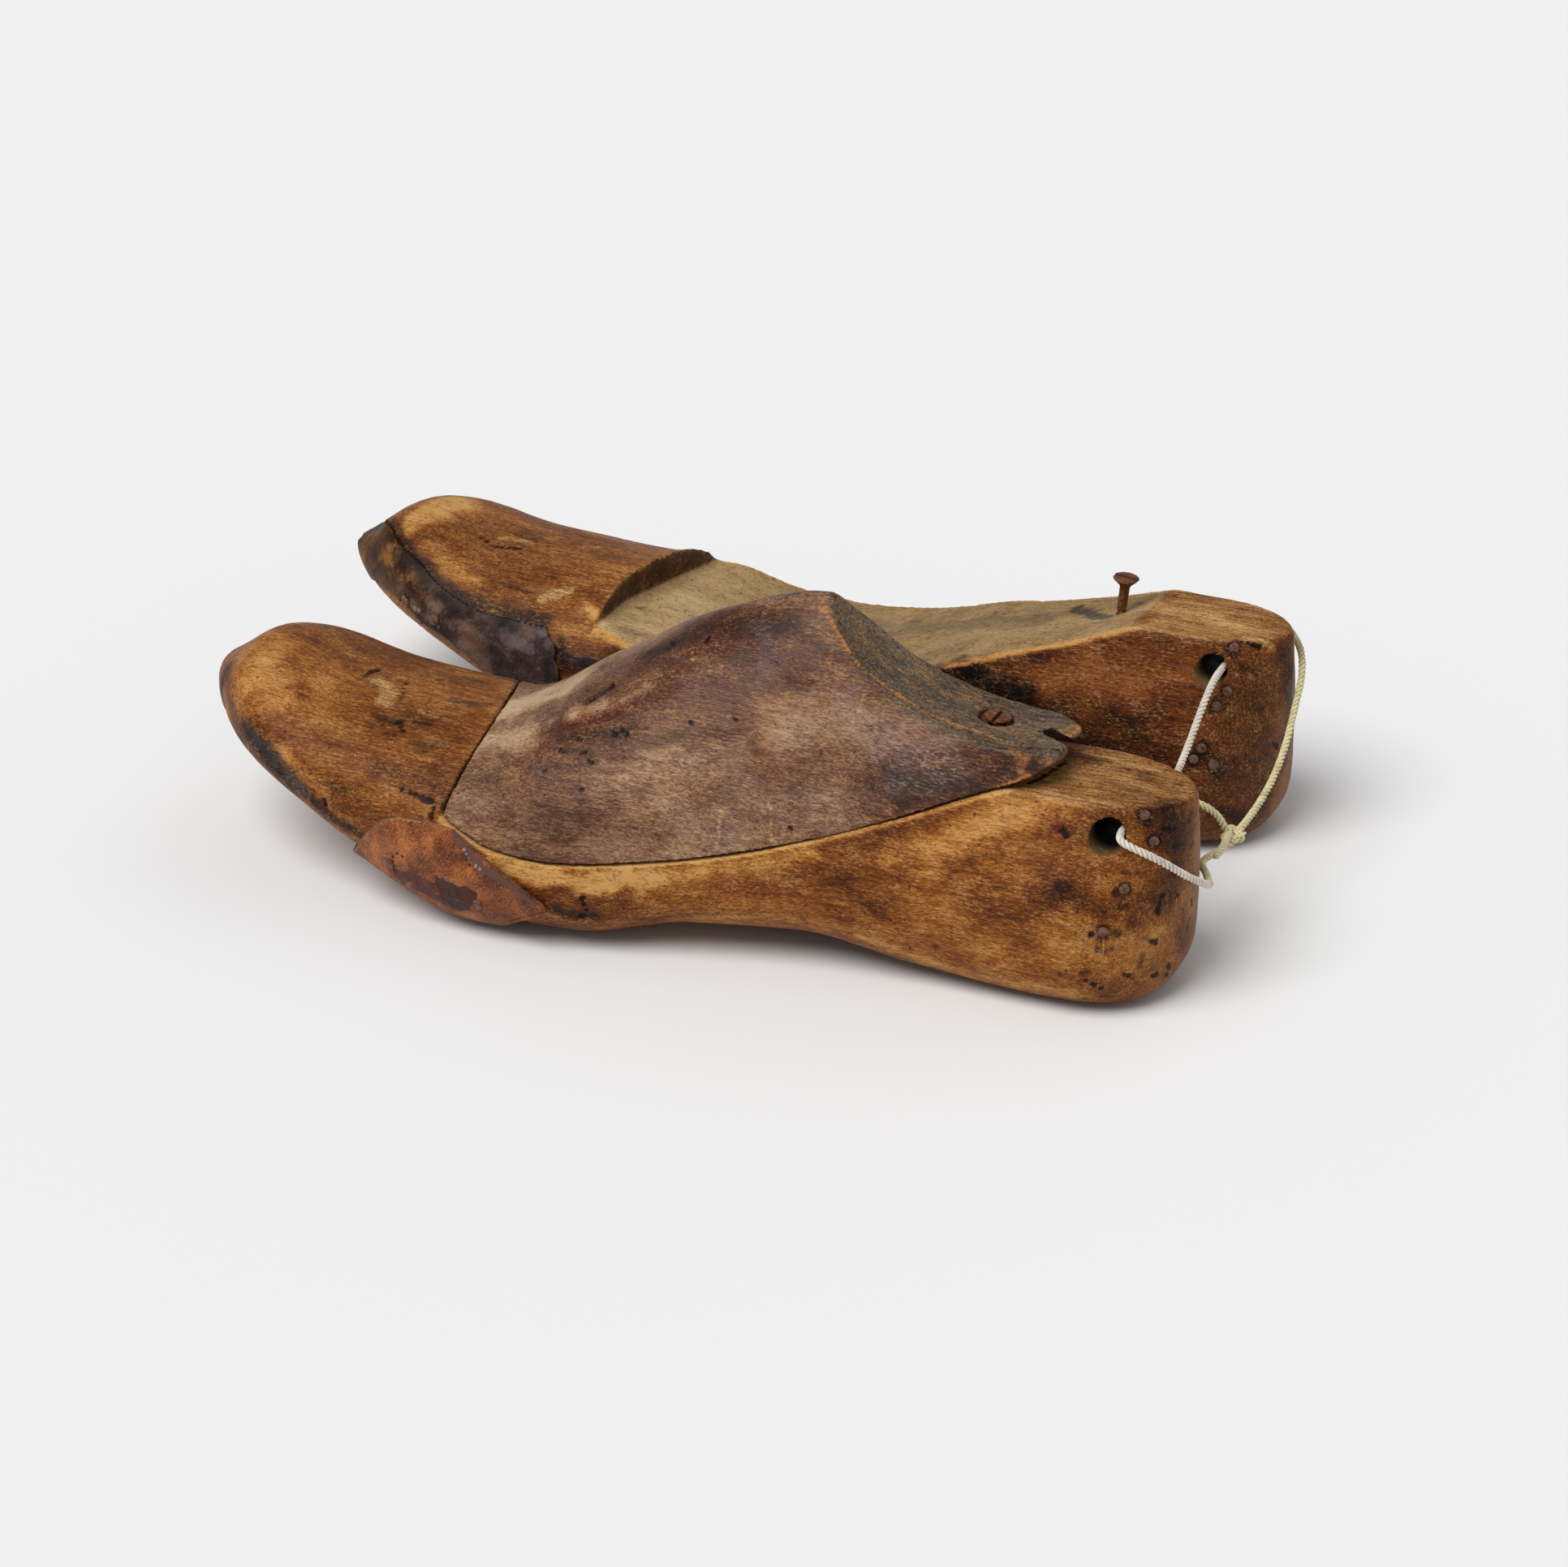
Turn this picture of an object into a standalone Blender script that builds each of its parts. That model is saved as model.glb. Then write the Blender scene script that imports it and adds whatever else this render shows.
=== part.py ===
"""A tied pair of old wooden block lasts for making shoes, in metres, +Z up.

Each last lies on its ball and heel, toe towards -X and heel towards +X. The front last is a left
foot and keeps its instep block, which a screw holds down. The rear last is a right foot, its block
is gone and its screw stands up in the empty seat. A thin cord through both thimble holes ties them.
"""
import math

import bmesh
import bpy
import numpy as np
from mathutils import Matrix, Vector

# Length of a last from toe to heel, and how far each end takes to close
LAST_LENGTH = 0.285
TOE_ROUND = 0.036
HEEL_ROUND = 0.028
TOE_TIP_Y = 0.007
TOE_TIP_Z = 0.045
HEEL_TIP_Z = 0.038
TOE_RISE_POWER = 2.8
HEEL_BLUNTNESS = 5

# Sections along the last, as (distance from the toe, size)
LATERAL_HALF = [(0.0, 0.022), (0.030, 0.031), (0.060, 0.0385), (0.095, 0.0445), (0.120, 0.045),
                (0.150, 0.039), (LAST_LENGTH - 0.095, 0.031), (LAST_LENGTH - 0.060, 0.0285),
                (LAST_LENGTH - 0.030, 0.029), (LAST_LENGTH, 0.029)]
MEDIAL_HALF = [(0.0, 0.0255), (0.030, 0.0334), (0.060, 0.0377), (0.090, 0.0405), (0.120, 0.0402),
               (0.150, 0.034), (LAST_LENGTH - 0.095, 0.029), (LAST_LENGTH - 0.060, 0.0275),
               (LAST_LENGTH - 0.030, 0.027), (LAST_LENGTH, 0.027)]
SOLE_HEIGHT = [(0.0, 0.0315), (0.025, 0.0255), (0.060, 0.011), (0.098, 0.0), (0.125, 0.0),
               (0.155, 0.005), (LAST_LENGTH - 0.100, 0.0055), (LAST_LENGTH - 0.070, 0.0015),
               (LAST_LENGTH - 0.040, 0.0), (LAST_LENGTH - 0.015, 0.0), (LAST_LENGTH, 0.001)]
TOP_HEIGHT = [(0.0, 0.0472), (0.016, 0.0560), (0.050, 0.0487), (0.085, 0.047), (0.120, 0.0665),
              (0.150, 0.085), (0.183, 0.096), (LAST_LENGTH - 0.070, 0.097),
              (LAST_LENGTH - 0.035, 0.090), (LAST_LENGTH, 0.083)]
WIDEST_ABOVE_SOLE = [(0.0, 0.009), (0.030, 0.0125), (0.080, 0.016), (0.120, 0.020),
                     (0.180, 0.024), (LAST_LENGTH - 0.045, 0.027), (LAST_LENGTH, 0.027)]
RIDGE_OFFSET = [(0.0, 0.002), (0.060, 0.002), (0.120, 0.003), (0.183, 0.002), (LAST_LENGTH, 0.0)]
# Fullness of the upper and lower halves of a section: 2 is an ellipse, more is squarer
UPPER_FULLNESS = [(0.0, 2.3), (0.080, 2.2), (0.130, 1.8), (0.165, 1.55), (0.185, 1.4),
                  (0.205, 1.18), (LAST_LENGTH - 0.045, 1.12), (LAST_LENGTH, 1.2)]
LOWER_FULLNESS = [(0.0, 2.6), (0.060, 3.2), (0.120, 3.4), (0.180, 3.2),
                  (LAST_LENGTH - 0.045, 4.0), (LAST_LENGTH, 3.6)]

# Seat of the instep block: a near upright wall, and a floor that climbs to the heel's flat top
WALL_FOOT_Z = 0.031
WALL_LEAN = math.radians(5)
FRONT_FLOOR = [(0.060, 0.040), (0.086, 0.0318), (0.095, 0.0285), (0.104, 0.0262), (0.115, 0.0256),
               (0.127, 0.0264), (0.148, 0.029), (0.169, 0.0332), (LAST_LENGTH - 0.095, 0.0396),
               (LAST_LENGTH - 0.075, 0.047), (LAST_LENGTH - 0.055, 0.0560),
               (LAST_LENGTH - 0.044, 0.0606), (LAST_LENGTH - 0.0345, 0.0652)]
REAR_FLOOR = [(0.060, 0.052), (0.090, 0.0412), (0.100, 0.0364), (0.112, 0.0318), (0.125, 0.0293),
              (0.138, 0.0294), (0.148, 0.0307), (0.165, 0.0348), (LAST_LENGTH - 0.092, 0.0446),
              (LAST_LENGTH - 0.075, 0.0500), (LAST_LENGTH - 0.055, 0.0562),
              (LAST_LENGTH - 0.042, 0.0612), (LAST_LENGTH - 0.030, 0.0660)]
SEAM_GAP = 0.0005
CUT_HALF_WIDTH = 0.06
SEAT_CUT_TOP = 0.13
BLOCK_CUT_TOP = 0.12
BEYOND_HEEL = 0.01

# Top of the instep block: a hollowed ribbon from the ridge's end to the split tail
RIDGE_END = 0.183
RIBBON_HEIGHT = [(0.170, 0.1040), (RIDGE_END, 0.0960), (0.1868, 0.0905), (0.192, 0.0853),
                 (0.204, 0.0762), (LAST_LENGTH - 0.068, 0.0705), (LAST_LENGTH - 0.056, 0.0678),
                 (LAST_LENGTH - 0.044, 0.0670), (LAST_LENGTH - 0.0345, 0.0669)]
TAIL_FROM_BACK = 0.0345
TAIL_SPLIT_LENGTH = 0.013
TAIL_SPLIT_WIDTH = 0.0022
TAIL_SPLIT_Y = -0.0025
TAIL_SPLIT_Z = (0.040, 0.100)
RIBBON_OVERRUN = 0.006

# Fasteners, and the clearance that touching pieces keep
GAP = 0.0003
SCREW_TILT = math.radians(6)
SCREW_HEAD_RADIUS = 0.0036
SCREW_HEAD_DEPTH = 0.0026
SCREW_SHANK_RADIUS = 0.00145
SCREW_LENGTH = 0.030
SCREW_POINT = 0.005
SCREW_HEAD_RIM = 0.0004
SCREW_SLOT_WIDTH = 0.0010
SCREW_SLOT_DEPTH = 0.0012
SCREW_SLOT_TURN = math.radians(-38)
SCREW_RECESS_RADIUS = 0.0046
SCREW_SUNK = 0.0014
SCREW_PROUD = 0.0108
NAIL_HEAD_RADIUS = 0.0014
NAIL_HEAD_DEPTH = 0.0007
NAIL_SHANK_RADIUS = 0.0008
NAIL_LENGTH = 0.006
NAIL_LEVELLING = 0.3
NAIL_DOME = 0.0001
TACK_HEAD_RADIUS = 0.0015
TACK_HEAD_DEPTH = 0.0009
TACK_SHANK_RADIUS = 0.0006
TACK_LENGTH = 0.009
TACK_DOME = 0.0003
PIN_POINT = 0.002
PIN_HOLE_LEAD = 0.004

# Thimble hole through the heel, and the leather pieces
BORE_RADIUS = 0.0050
BORE_FROM_BACK = 0.0185
LEATHER_THICKNESS = 0.0020
BUILDUP_THICKNESS = 0.0016
BUILDUP_BED = 0.0030

# Cord: a loop from the knot, through the rear heel, through the front heel and back to the knot
CORD_RADIUS = 0.00105
CORD_STEP = 0.0045
KNOT_RADII = (0.0040, 0.0035, 0.0042)
KNOT_PLACE = (0.1497, 0.0150, 0.0283)
CORD_ROUTE = [(0.1508, 0.0193, 0.0293), (0.1513, 0.0280, 0.0298), (0.1520, 0.0420, 0.0325),
              (0.1515, 0.0580, 0.0381), (0.1504, 0.0700, 0.0446), (0.1497, 0.0760, 0.0482),
              (0.1483, 0.0810, 0.0512), (0.1456, 0.0865, 0.0530), (0.1418, 0.0920, 0.0538),
              (0.1374, 0.0956, 0.0538), (0.1334, 0.0944, 0.0536), (0.1315, 0.0900, 0.0534),
              (0.1313, 0.0820, 0.0533), (0.1311, 0.0700, 0.0533), (0.1309, 0.0600, 0.0536),
              (0.1311, 0.0520, 0.0530), (0.1310, 0.0460, 0.0504), (0.1311, 0.0380, 0.0466),
              (0.1314, 0.0300, 0.0436), (0.1322, 0.0200, 0.0420), (0.1334, 0.0110, 0.0426),
              (0.1342, 0.0030, 0.0460), (0.1344, -0.0050, 0.0493), (0.1345, -0.0200, 0.0503),
              (0.1345, -0.0320, 0.0506), (0.1349, -0.0380, 0.0509), (0.1370, -0.0422, 0.0512),
              (0.1406, -0.0430, 0.0503), (0.1440, -0.0410, 0.0480), (0.1476, -0.0375, 0.0445),
              (0.1505, -0.0330, 0.0403), (0.1527, -0.0280, 0.0364), (0.1539, -0.0220, 0.0326),
              (0.1531, -0.0172, 0.0303), (0.1508, -0.0112, 0.0287), (0.1485, -0.0064, 0.0281),
              (0.1466, -0.0028, 0.0278), (0.1465, 0.0006, 0.0277), (0.1482, 0.0048, 0.0279),
              (0.1496, 0.0106, 0.0282)]
UPPER_TAIL = [(0.1482, 0.0118, 0.0320), (0.1464, 0.0100, 0.0362), (0.1436, 0.0080, 0.0392),
              (0.1406, 0.0065, 0.0410)]
LOWER_TAIL = [(0.1494, 0.0104, 0.0306), (0.1502, 0.0055, 0.0310), (0.1506, 0.0005, 0.0311),
              (0.1504, -0.0035, 0.0309)]

# How finely the lasts are cut into faces
STATIONS_BETWEEN_ENDS = 32
STATIONS_AT_AN_END = 8
POINTS_AROUND = 40
PLAN_STEPS = 8
FLOOR_STEPS = 26
RIBBON_STEPS = 22
LEATHER_COLUMNS = 22
LEATHER_ROWS = 15
SCREW_SIDES = 20
PIN_SIDES = 12
BORE_SIDES = 24


class Last:
    """One last of the pair: how it lies, and what its maker cut unlike the other's."""

    def __init__(self, name, medial, heel, yaw, floor, floor_tilt, flat_z, bore_z, wall, bed):
        self.name = name
        # +1 where the medial side faces +Y, -1 where it faces -Y
        self.medial = medial
        self.heel = heel
        self.yaw = yaw
        self.floor = smooth(floor)
        self.floor_tilt = floor_tilt
        self.flat_z = flat_z
        self.bore_z = bore_z
        # The wall's distance from the toe on the centre line, its skew and its bow in plan
        self.wall_x, self.wall_skew, self.wall_bow = wall
        self.bed = smooth([(0.0, bed), (0.065, bed), (0.100, 0.0), (LAST_LENGTH, 0.0)])


def smooth(stations):
    """A monotone cubic through (x, value) pairs."""
    xs = np.array([s[0] for s in stations], float)
    ys = np.array([s[1] for s in stations], float)
    h = np.diff(xs)
    d = np.diff(ys) / h
    m = np.zeros(len(xs))
    m[0], m[-1] = d[0], d[-1]
    for i in range(1, len(xs) - 1):
        if d[i - 1] * d[i] > 0:
            w1, w2 = 2 * h[i] + h[i - 1], h[i] + 2 * h[i - 1]
            m[i] = (w1 + w2) / (w1 / d[i - 1] + w2 / d[i])

    def at(x):
        x = min(max(x, xs[0]), xs[-1])
        i = min(max(int(np.searchsorted(xs, x, side="right")) - 1, 0), len(xs) - 2)
        t = (x - xs[i]) / h[i]
        return float((1 + 2 * t) * (1 - t) ** 2 * ys[i] + t * (1 - t) ** 2 * h[i] * m[i]
                     + t * t * (3 - 2 * t) * ys[i + 1] + t * t * (t - 1) * h[i] * m[i + 1])
    return at


lateral_half = smooth(LATERAL_HALF)
medial_half = smooth(MEDIAL_HALF)
sole_height = smooth(SOLE_HEIGHT)
top_height = smooth(TOP_HEIGHT)
widest_above_sole = smooth(WIDEST_ABOVE_SOLE)
ridge_offset = smooth(RIDGE_OFFSET)
upper_fullness = smooth(UPPER_FULLNESS)
lower_fullness = smooth(LOWER_FULLNESS)
ribbon_height = smooth(RIBBON_HEIGHT)


def section(last, x):
    """The heights and widths of the last's section at x from the toe, closed in at the ends."""
    at_toe = min(1.0, x / TOE_ROUND)
    at_heel = min(1.0, (LAST_LENGTH - x) / HEEL_ROUND)
    width = math.sqrt(1 - (1 - at_toe) ** 2) * math.sqrt(1 - (1 - at_heel) ** 2)
    rise = math.sqrt(1 - (1 - at_toe) ** TOE_RISE_POWER)
    blunt = (1 - (1 - at_heel) ** HEEL_BLUNTNESS) ** (1 / HEEL_BLUNTNESS)
    low, top = sole_height(x), top_height(x)
    heights = [low, low + widest_above_sole(x), top]
    heights = [TOE_TIP_Z + (z - TOE_TIP_Z) * rise for z in heights]
    heights = [HEEL_TIP_Z + (z - HEEL_TIP_Z) * blunt for z in heights]
    tip_y = TOE_TIP_Y if x < LAST_LENGTH / 2 else 0.0
    return heights, width, tip_y


def surface(last, x, angle):
    """A point of the last's skin: angle 0 is the medial side, a quarter turn the top."""
    (low, widest, top), width, tip_y = section(last, x)
    c, s = math.cos(angle), math.sin(angle)
    medial = medial_half(x) - last.bed(x)
    side = medial if c >= 0 else -lateral_half(x)
    if s >= 0:
        power, middle, end = 2 / upper_fullness(x), ridge_offset(x), top
    else:
        power, middle, end = 2 / lower_fullness(x), (medial - lateral_half(x)) / 2, low
    y = middle + (side - middle) * abs(c) ** power
    z = widest + (end - widest) * abs(s) ** power
    y = tip_y + (y - tip_y) * width
    return Vector((x - LAST_LENGTH, last.medial * y, z))


def angle_at(last, x, z, medial_side):
    """The angle round the section at which the skin is at height z, on one side."""
    (low, widest, top), _, _ = section(last, x)
    if z >= widest:
        turn = math.asin(min(1.0, (z - widest) / (top - widest)) ** (upper_fullness(x) / 2))
    else:
        turn = -math.asin(min(1.0, (widest - z) / (widest - low)) ** (lower_fullness(x) / 2))
    return turn if medial_side else math.pi - turn


def outward(last, x, angle):
    """The skin's unit normal, pointing out of the wood."""
    step = 0.0004
    x = min(max(x, 0.002), LAST_LENGTH - 0.002)
    along = surface(last, x + step, angle) - surface(last, x - step, angle)
    around = surface(last, x, angle + 0.01) - surface(last, x, angle - 0.01)
    normal = along.cross(around).normalized()
    middle = Vector((x - LAST_LENGTH, 0, section(last, x)[0][1]))
    return normal if normal.dot(surface(last, x, angle) - middle) > 0 else -normal


def near_is_medial(last):
    """True where the side that faces -Y is the medial one."""
    return last.medial < 0


def collection(name):
    made = bpy.data.collections.new(name)
    bpy.context.scene.collection.children.link(made)
    return made


def material(name, colour, roughness, metallic=0.0):
    made = bpy.data.materials.new(name)
    made.use_nodes = True
    shader = made.node_tree.nodes["Principled BSDF"]
    shader.inputs["Base Color"].default_value = (*colour, 1)
    shader.inputs["Roughness"].default_value = roughness
    shader.inputs["Metallic"].default_value = metallic
    return made


def add(name, data, parent, finish=None):
    """Puts a mesh or a curve in the scene: a part if it has a finish, else a cutter."""
    made = bpy.data.objects.new(name, data)
    (PARTS if finish else CUTTERS).objects.link(made)
    made.parent = parent
    if finish:
        data.materials.append(finish)
    else:
        made.hide_render = True
        made.display_type = "WIRE"
    return made


def loft(name, rings, tips=None):
    """A closed skin over unlike sections, ended in two tip points or in flat caps."""
    shape = bmesh.new()
    rows = [[shape.verts.new(p) for p in ring] for ring in rings]
    count = len(rows[0])
    for a, b in zip(rows, rows[1:]):
        for i in range(count):
            j = (i + 1) % count
            shape.faces.new((a[i], a[j], b[j], b[i]))
    for row, tip in ((rows[0], 0), (rows[-1], 1)):
        if tips:
            point = shape.verts.new(tips[tip])
            for i in range(count):
                shape.faces.new((row[i], row[(i + 1) % count], point))
        else:
            shape.faces.new(row)
    bmesh.ops.recalc_face_normals(shape, faces=shape.faces)
    mesh = bpy.data.meshes.new(name)
    shape.to_mesh(mesh)
    shape.free()
    mesh.shade_smooth()
    mesh.set_sharp_from_angle(angle=math.radians(40))
    return mesh


def last_blank(last, name):
    """The whole last before its block is sawn out, lofted because no two sections are alike."""
    xs = [TOE_ROUND * (1 - math.cos(math.pi / 2 * k / STATIONS_AT_AN_END))
          for k in range(1, STATIONS_AT_AN_END + 1)]
    middle = LAST_LENGTH - TOE_ROUND - HEEL_ROUND
    xs += [TOE_ROUND + middle * k / STATIONS_BETWEEN_ENDS for k in range(1, STATIONS_BETWEEN_ENDS)]
    xs += [LAST_LENGTH - HEEL_ROUND * (1 - math.cos(math.pi / 2 * k / STATIONS_AT_AN_END))
           for k in range(STATIONS_AT_AN_END, 0, -1)]
    turns = [2 * math.pi * k / POINTS_AROUND for k in range(POINTS_AROUND)]
    rings = [[surface(last, x, a) for a in turns] for x in xs]
    return loft(name, rings, (surface(last, 0.0, 0.0), surface(last, LAST_LENGTH, 0.0)))


def seat_outline(last, y, gap, top, stop_x):
    """The seat's outline in one plane along the last: wall, floor, and up again at stop_x."""
    plan = last.wall_x + last.wall_skew * y + last.wall_bow * y * y
    lean = math.tan(WALL_LEAN)
    foot_z = last.floor(plan) + last.floor_tilt * y + gap
    wall = [(plan + gap + lean * (top - WALL_FOOT_Z), top),
            (plan + gap + lean * (foot_z - WALL_FOOT_Z), foot_z)]
    start = wall[1][0]
    floor = []
    for k in range(1, FLOOR_STEPS + 1):
        x = start + (stop_x - start) * k / FLOOR_STEPS
        floor.append((x, last.floor(x) + last.floor_tilt * y + gap))
    return wall + floor + [(stop_x, top)]


def across(last, outline_at):
    """Places one outline after another across the last, each in its own plane."""
    rings = []
    for k in range(PLAN_STEPS + 1):
        y = CUT_HALF_WIDTH * (2 * k / PLAN_STEPS - 1)
        rings.append([Vector((x - LAST_LENGTH, last.medial * y, z)) for x, z in outline_at(y)])
    return rings


def seat_cutter(last, parent):
    """What is sawn away for the block's seat and the heel's flat top, skewed at the wall."""
    def outline(y):
        cut = seat_outline(last, y, 0.0, SEAT_CUT_TOP, LAST_LENGTH + BEYOND_HEEL)
        return [(x, min(z, last.flat_z) if 0 < i < len(cut) - 1 else z)
                for i, (x, z) in enumerate(cut)]
    return add(last.name + "_seat_cutter", loft("seat", across(last, outline)), parent)


def block_cutter(last, parent):
    """The space that the block fills: above the seat by the seam, below the hollowed ribbon."""
    tail = LAST_LENGTH - TAIL_FROM_BACK

    def outline(y):
        low = seat_outline(last, y, SEAM_GAP, BLOCK_CUT_TOP, tail)[:-1]
        high = []
        for k in range(RIBBON_STEPS + 1):
            x = tail + (RIDGE_END - RIBBON_OVERRUN - tail) * k / RIBBON_STEPS
            high.append((x, ribbon_height(x)))
        return low + high
    return add(last.name + "_block_cutter", loft("space", across(last, outline)), parent)


def boolean(target, cutter, operation="DIFFERENCE"):
    step = target.modifiers.new(cutter.name, "BOOLEAN")
    step.operation = operation
    step.object = cutter
    step.solver = "EXACT"


def turned(name, profile, parent, finish=None, steps=20):
    """A shape turned about its own Z axis, from a profile that runs down its outer side."""
    mesh = bpy.data.meshes.new(name)
    edges = [(k, k + 1) for k in range(len(profile) - 1)]
    mesh.from_pydata([(r, 0, z) for r, z in profile], edges, [])
    made = add(name, mesh, parent, finish)
    screw = made.modifiers.new("turn", "SCREW")
    screw.axis = "Z"
    screw.steps = steps
    screw.render_steps = steps
    screw.use_merge_vertices = True
    screw.merge_threshold = 0.00001
    screw.use_smooth_shade = True
    return made


def aim(made, point, direction):
    """Stands a turned shape on a point, its +Z along a direction."""
    made.location = point
    made.rotation_euler = direction.to_track_quat("Z", "Y").to_euler()


def bore(last, body, parent):
    """The thimble hole, straight through the heel."""
    hole = turned(last.name + "_bore_cutter",
                  [(0, CUT_HALF_WIDTH), (BORE_RADIUS, CUT_HALF_WIDTH), (BORE_RADIUS, -CUT_HALF_WIDTH),
                   (0, -CUT_HALF_WIDTH)], parent, steps=BORE_SIDES)
    aim(hole, Vector((-BORE_FROM_BACK, 0, last.bore_z)), Vector((0, 1, 0)))
    boolean(body, hole)


def screw_piece(name, parent, finish):
    """A slotted countersunk wood screw with its head's face at its origin, shank downwards."""
    made = turned(name, [(0, 0), (SCREW_HEAD_RADIUS, 0), (SCREW_HEAD_RADIUS, -SCREW_HEAD_RIM),
                         (SCREW_SHANK_RADIUS, -SCREW_HEAD_DEPTH),
                         (SCREW_SHANK_RADIUS, SCREW_POINT - SCREW_LENGTH), (0, -SCREW_LENGTH)],
                  parent, finish, steps=SCREW_SIDES)
    slot = bmesh.new()
    bmesh.ops.create_cube(slot, size=1, matrix=Matrix.Diagonal(
        (SCREW_SLOT_WIDTH, 3 * SCREW_HEAD_RADIUS, 2 * SCREW_SLOT_DEPTH, 1)))
    mesh = bpy.data.meshes.new(name + "_slot")
    slot.to_mesh(mesh)
    slot.free()
    cutter = add(name + "_slot_cutter", mesh, made)
    cutter.rotation_euler = (0, 0, SCREW_SLOT_TURN)
    boolean(made, cutter)
    return made


def screw_passage(name, parent):
    """The drilled way for a screw: a recess over the head, a countersink and the shank's hole."""
    shank = SCREW_SHANK_RADIUS + GAP
    above = SCREW_LENGTH
    return turned(name, [(0, above), (SCREW_RECESS_RADIUS, above), (SCREW_RECESS_RADIUS, -GAP),
                         (SCREW_RECESS_RADIUS, -SCREW_HEAD_RIM - GAP), (shank, -SCREW_HEAD_DEPTH - 2 * GAP),
                         (shank, -SCREW_LENGTH - GAP), (0, -SCREW_LENGTH - GAP)], parent, steps=SCREW_SIDES)


def pin_profile(head, depth, shank, length, dome):
    return [(0, dome), (0.55 * head, 0.8 * dome), (head, 0.0), (head, -depth), (shank, -depth),
            (shank, PIN_POINT - length), (0, -length)]


def nail(name, parent, finish, point, direction, sizes, dome, wood):
    """A nail with its head's rim at point, and the hole that it sits in."""
    head, depth, shank, length = sizes
    made = turned(name, pin_profile(head, depth, shank, length, dome), parent, finish, steps=PIN_SIDES)
    aim(made, point, direction)
    hole = turned(name + "_hole_cutter",
                  [(0, PIN_HOLE_LEAD), (head + GAP, PIN_HOLE_LEAD), (head + GAP, -depth - GAP),
                   (shank + GAP, -depth - GAP), (shank + GAP, -length - GAP),
                   (0, -length - GAP)], parent, steps=PIN_SIDES)
    aim(hole, point, direction)
    boolean(wood, hole)


def leather(last, name, parent, finish, thickness, upper_edge, lower_turn, first, final):
    """A leather piece on the near side: skin of the last from an upper edge down under the sole."""
    medial_side = near_is_medial(last)
    edge = smooth(upper_edge)
    columns, rows = LEATHER_COLUMNS, LEATHER_ROWS
    shape = bmesh.new()
    grid = []
    for i in range(columns + 1):
        line = []
        for j in range(rows + 1):
            down = j / rows
            start = first[0] + (first[1] - first[0]) * down
            stop = final[0] + (final[1] - final[0]) * down
            x = start + (stop - start) * i / columns
            high = angle_at(last, x, edge(x), medial_side)
            low = -lower_turn if medial_side else math.pi + lower_turn
            angle = high + (low - high) * down
            line.append(shape.verts.new(surface(last, x, angle) + outward(last, x, angle) * GAP))
        grid.append(line)
    for i in range(columns):
        for j in range(rows):
            shape.faces.new((grid[i][j], grid[i][j + 1], grid[i + 1][j + 1], grid[i + 1][j]))
    bmesh.ops.recalc_face_normals(shape, faces=shape.faces)
    middle = shape.faces[len(shape.faces) // 2]
    inside = Vector((middle.calc_center_median().x, 0, 0.02))
    if middle.normal.dot(middle.calc_center_median() - inside) < 0:
        bmesh.ops.reverse_faces(shape, faces=shape.faces)
    mesh = bpy.data.meshes.new(name)
    shape.to_mesh(mesh)
    shape.free()
    mesh.shade_smooth()
    made = add(name, mesh, parent, finish)
    solid = made.modifiers.new("thickness", "SOLIDIFY")
    solid.thickness = thickness
    solid.offset = 1
    solid.use_even_offset = True
    return made


def nails(last, body, parent, places):
    """Old lasting nails, worn flush, driven almost level into the heel's near side."""
    for number, (from_back, z) in enumerate(places, 1):
        x = LAST_LENGTH - from_back
        angle = angle_at(last, x, z, near_is_medial(last))
        direction = outward(last, x, angle)
        direction.z *= NAIL_LEVELLING
        name = "%s_heel_nail_%d" % (last.name, number)
        nail(name, parent, IRON, surface(last, x, angle), direction.normalized(),
             (NAIL_HEAD_RADIUS, NAIL_HEAD_DEPTH, NAIL_SHANK_RADIUS, NAIL_LENGTH), NAIL_DOME, body)


def tacks(last, label, parent, piece, body, thickness, places):
    """Tacks that hold a leather piece to the wood, heads just clear of the leather."""
    for number, (x, z) in enumerate(places, 1):
        angle = angle_at(last, x, z, near_is_medial(last))
        direction = outward(last, x, angle)
        seat = surface(last, x, angle) + direction * (thickness + 2 * GAP + TACK_HEAD_DEPTH)
        name = "%s_%s_tack_%d" % (last.name, label, number)
        made = turned(name, pin_profile(TACK_HEAD_RADIUS, TACK_HEAD_DEPTH, TACK_SHANK_RADIUS,
                                        TACK_LENGTH, TACK_DOME), parent, IRON, steps=PIN_SIDES)
        aim(made, seat, direction)
        shank = TACK_SHANK_RADIUS + GAP
        hole = turned(name + "_hole_cutter", [(0, PIN_HOLE_LEAD), (shank, PIN_HOLE_LEAD),
                                              (shank, -TACK_LENGTH - GAP), (0, -TACK_LENGTH - GAP)],
                      parent, steps=PIN_SIDES)
        aim(hole, seat, direction)
        boolean(piece, hole)
        boolean(body, hole)


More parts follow.
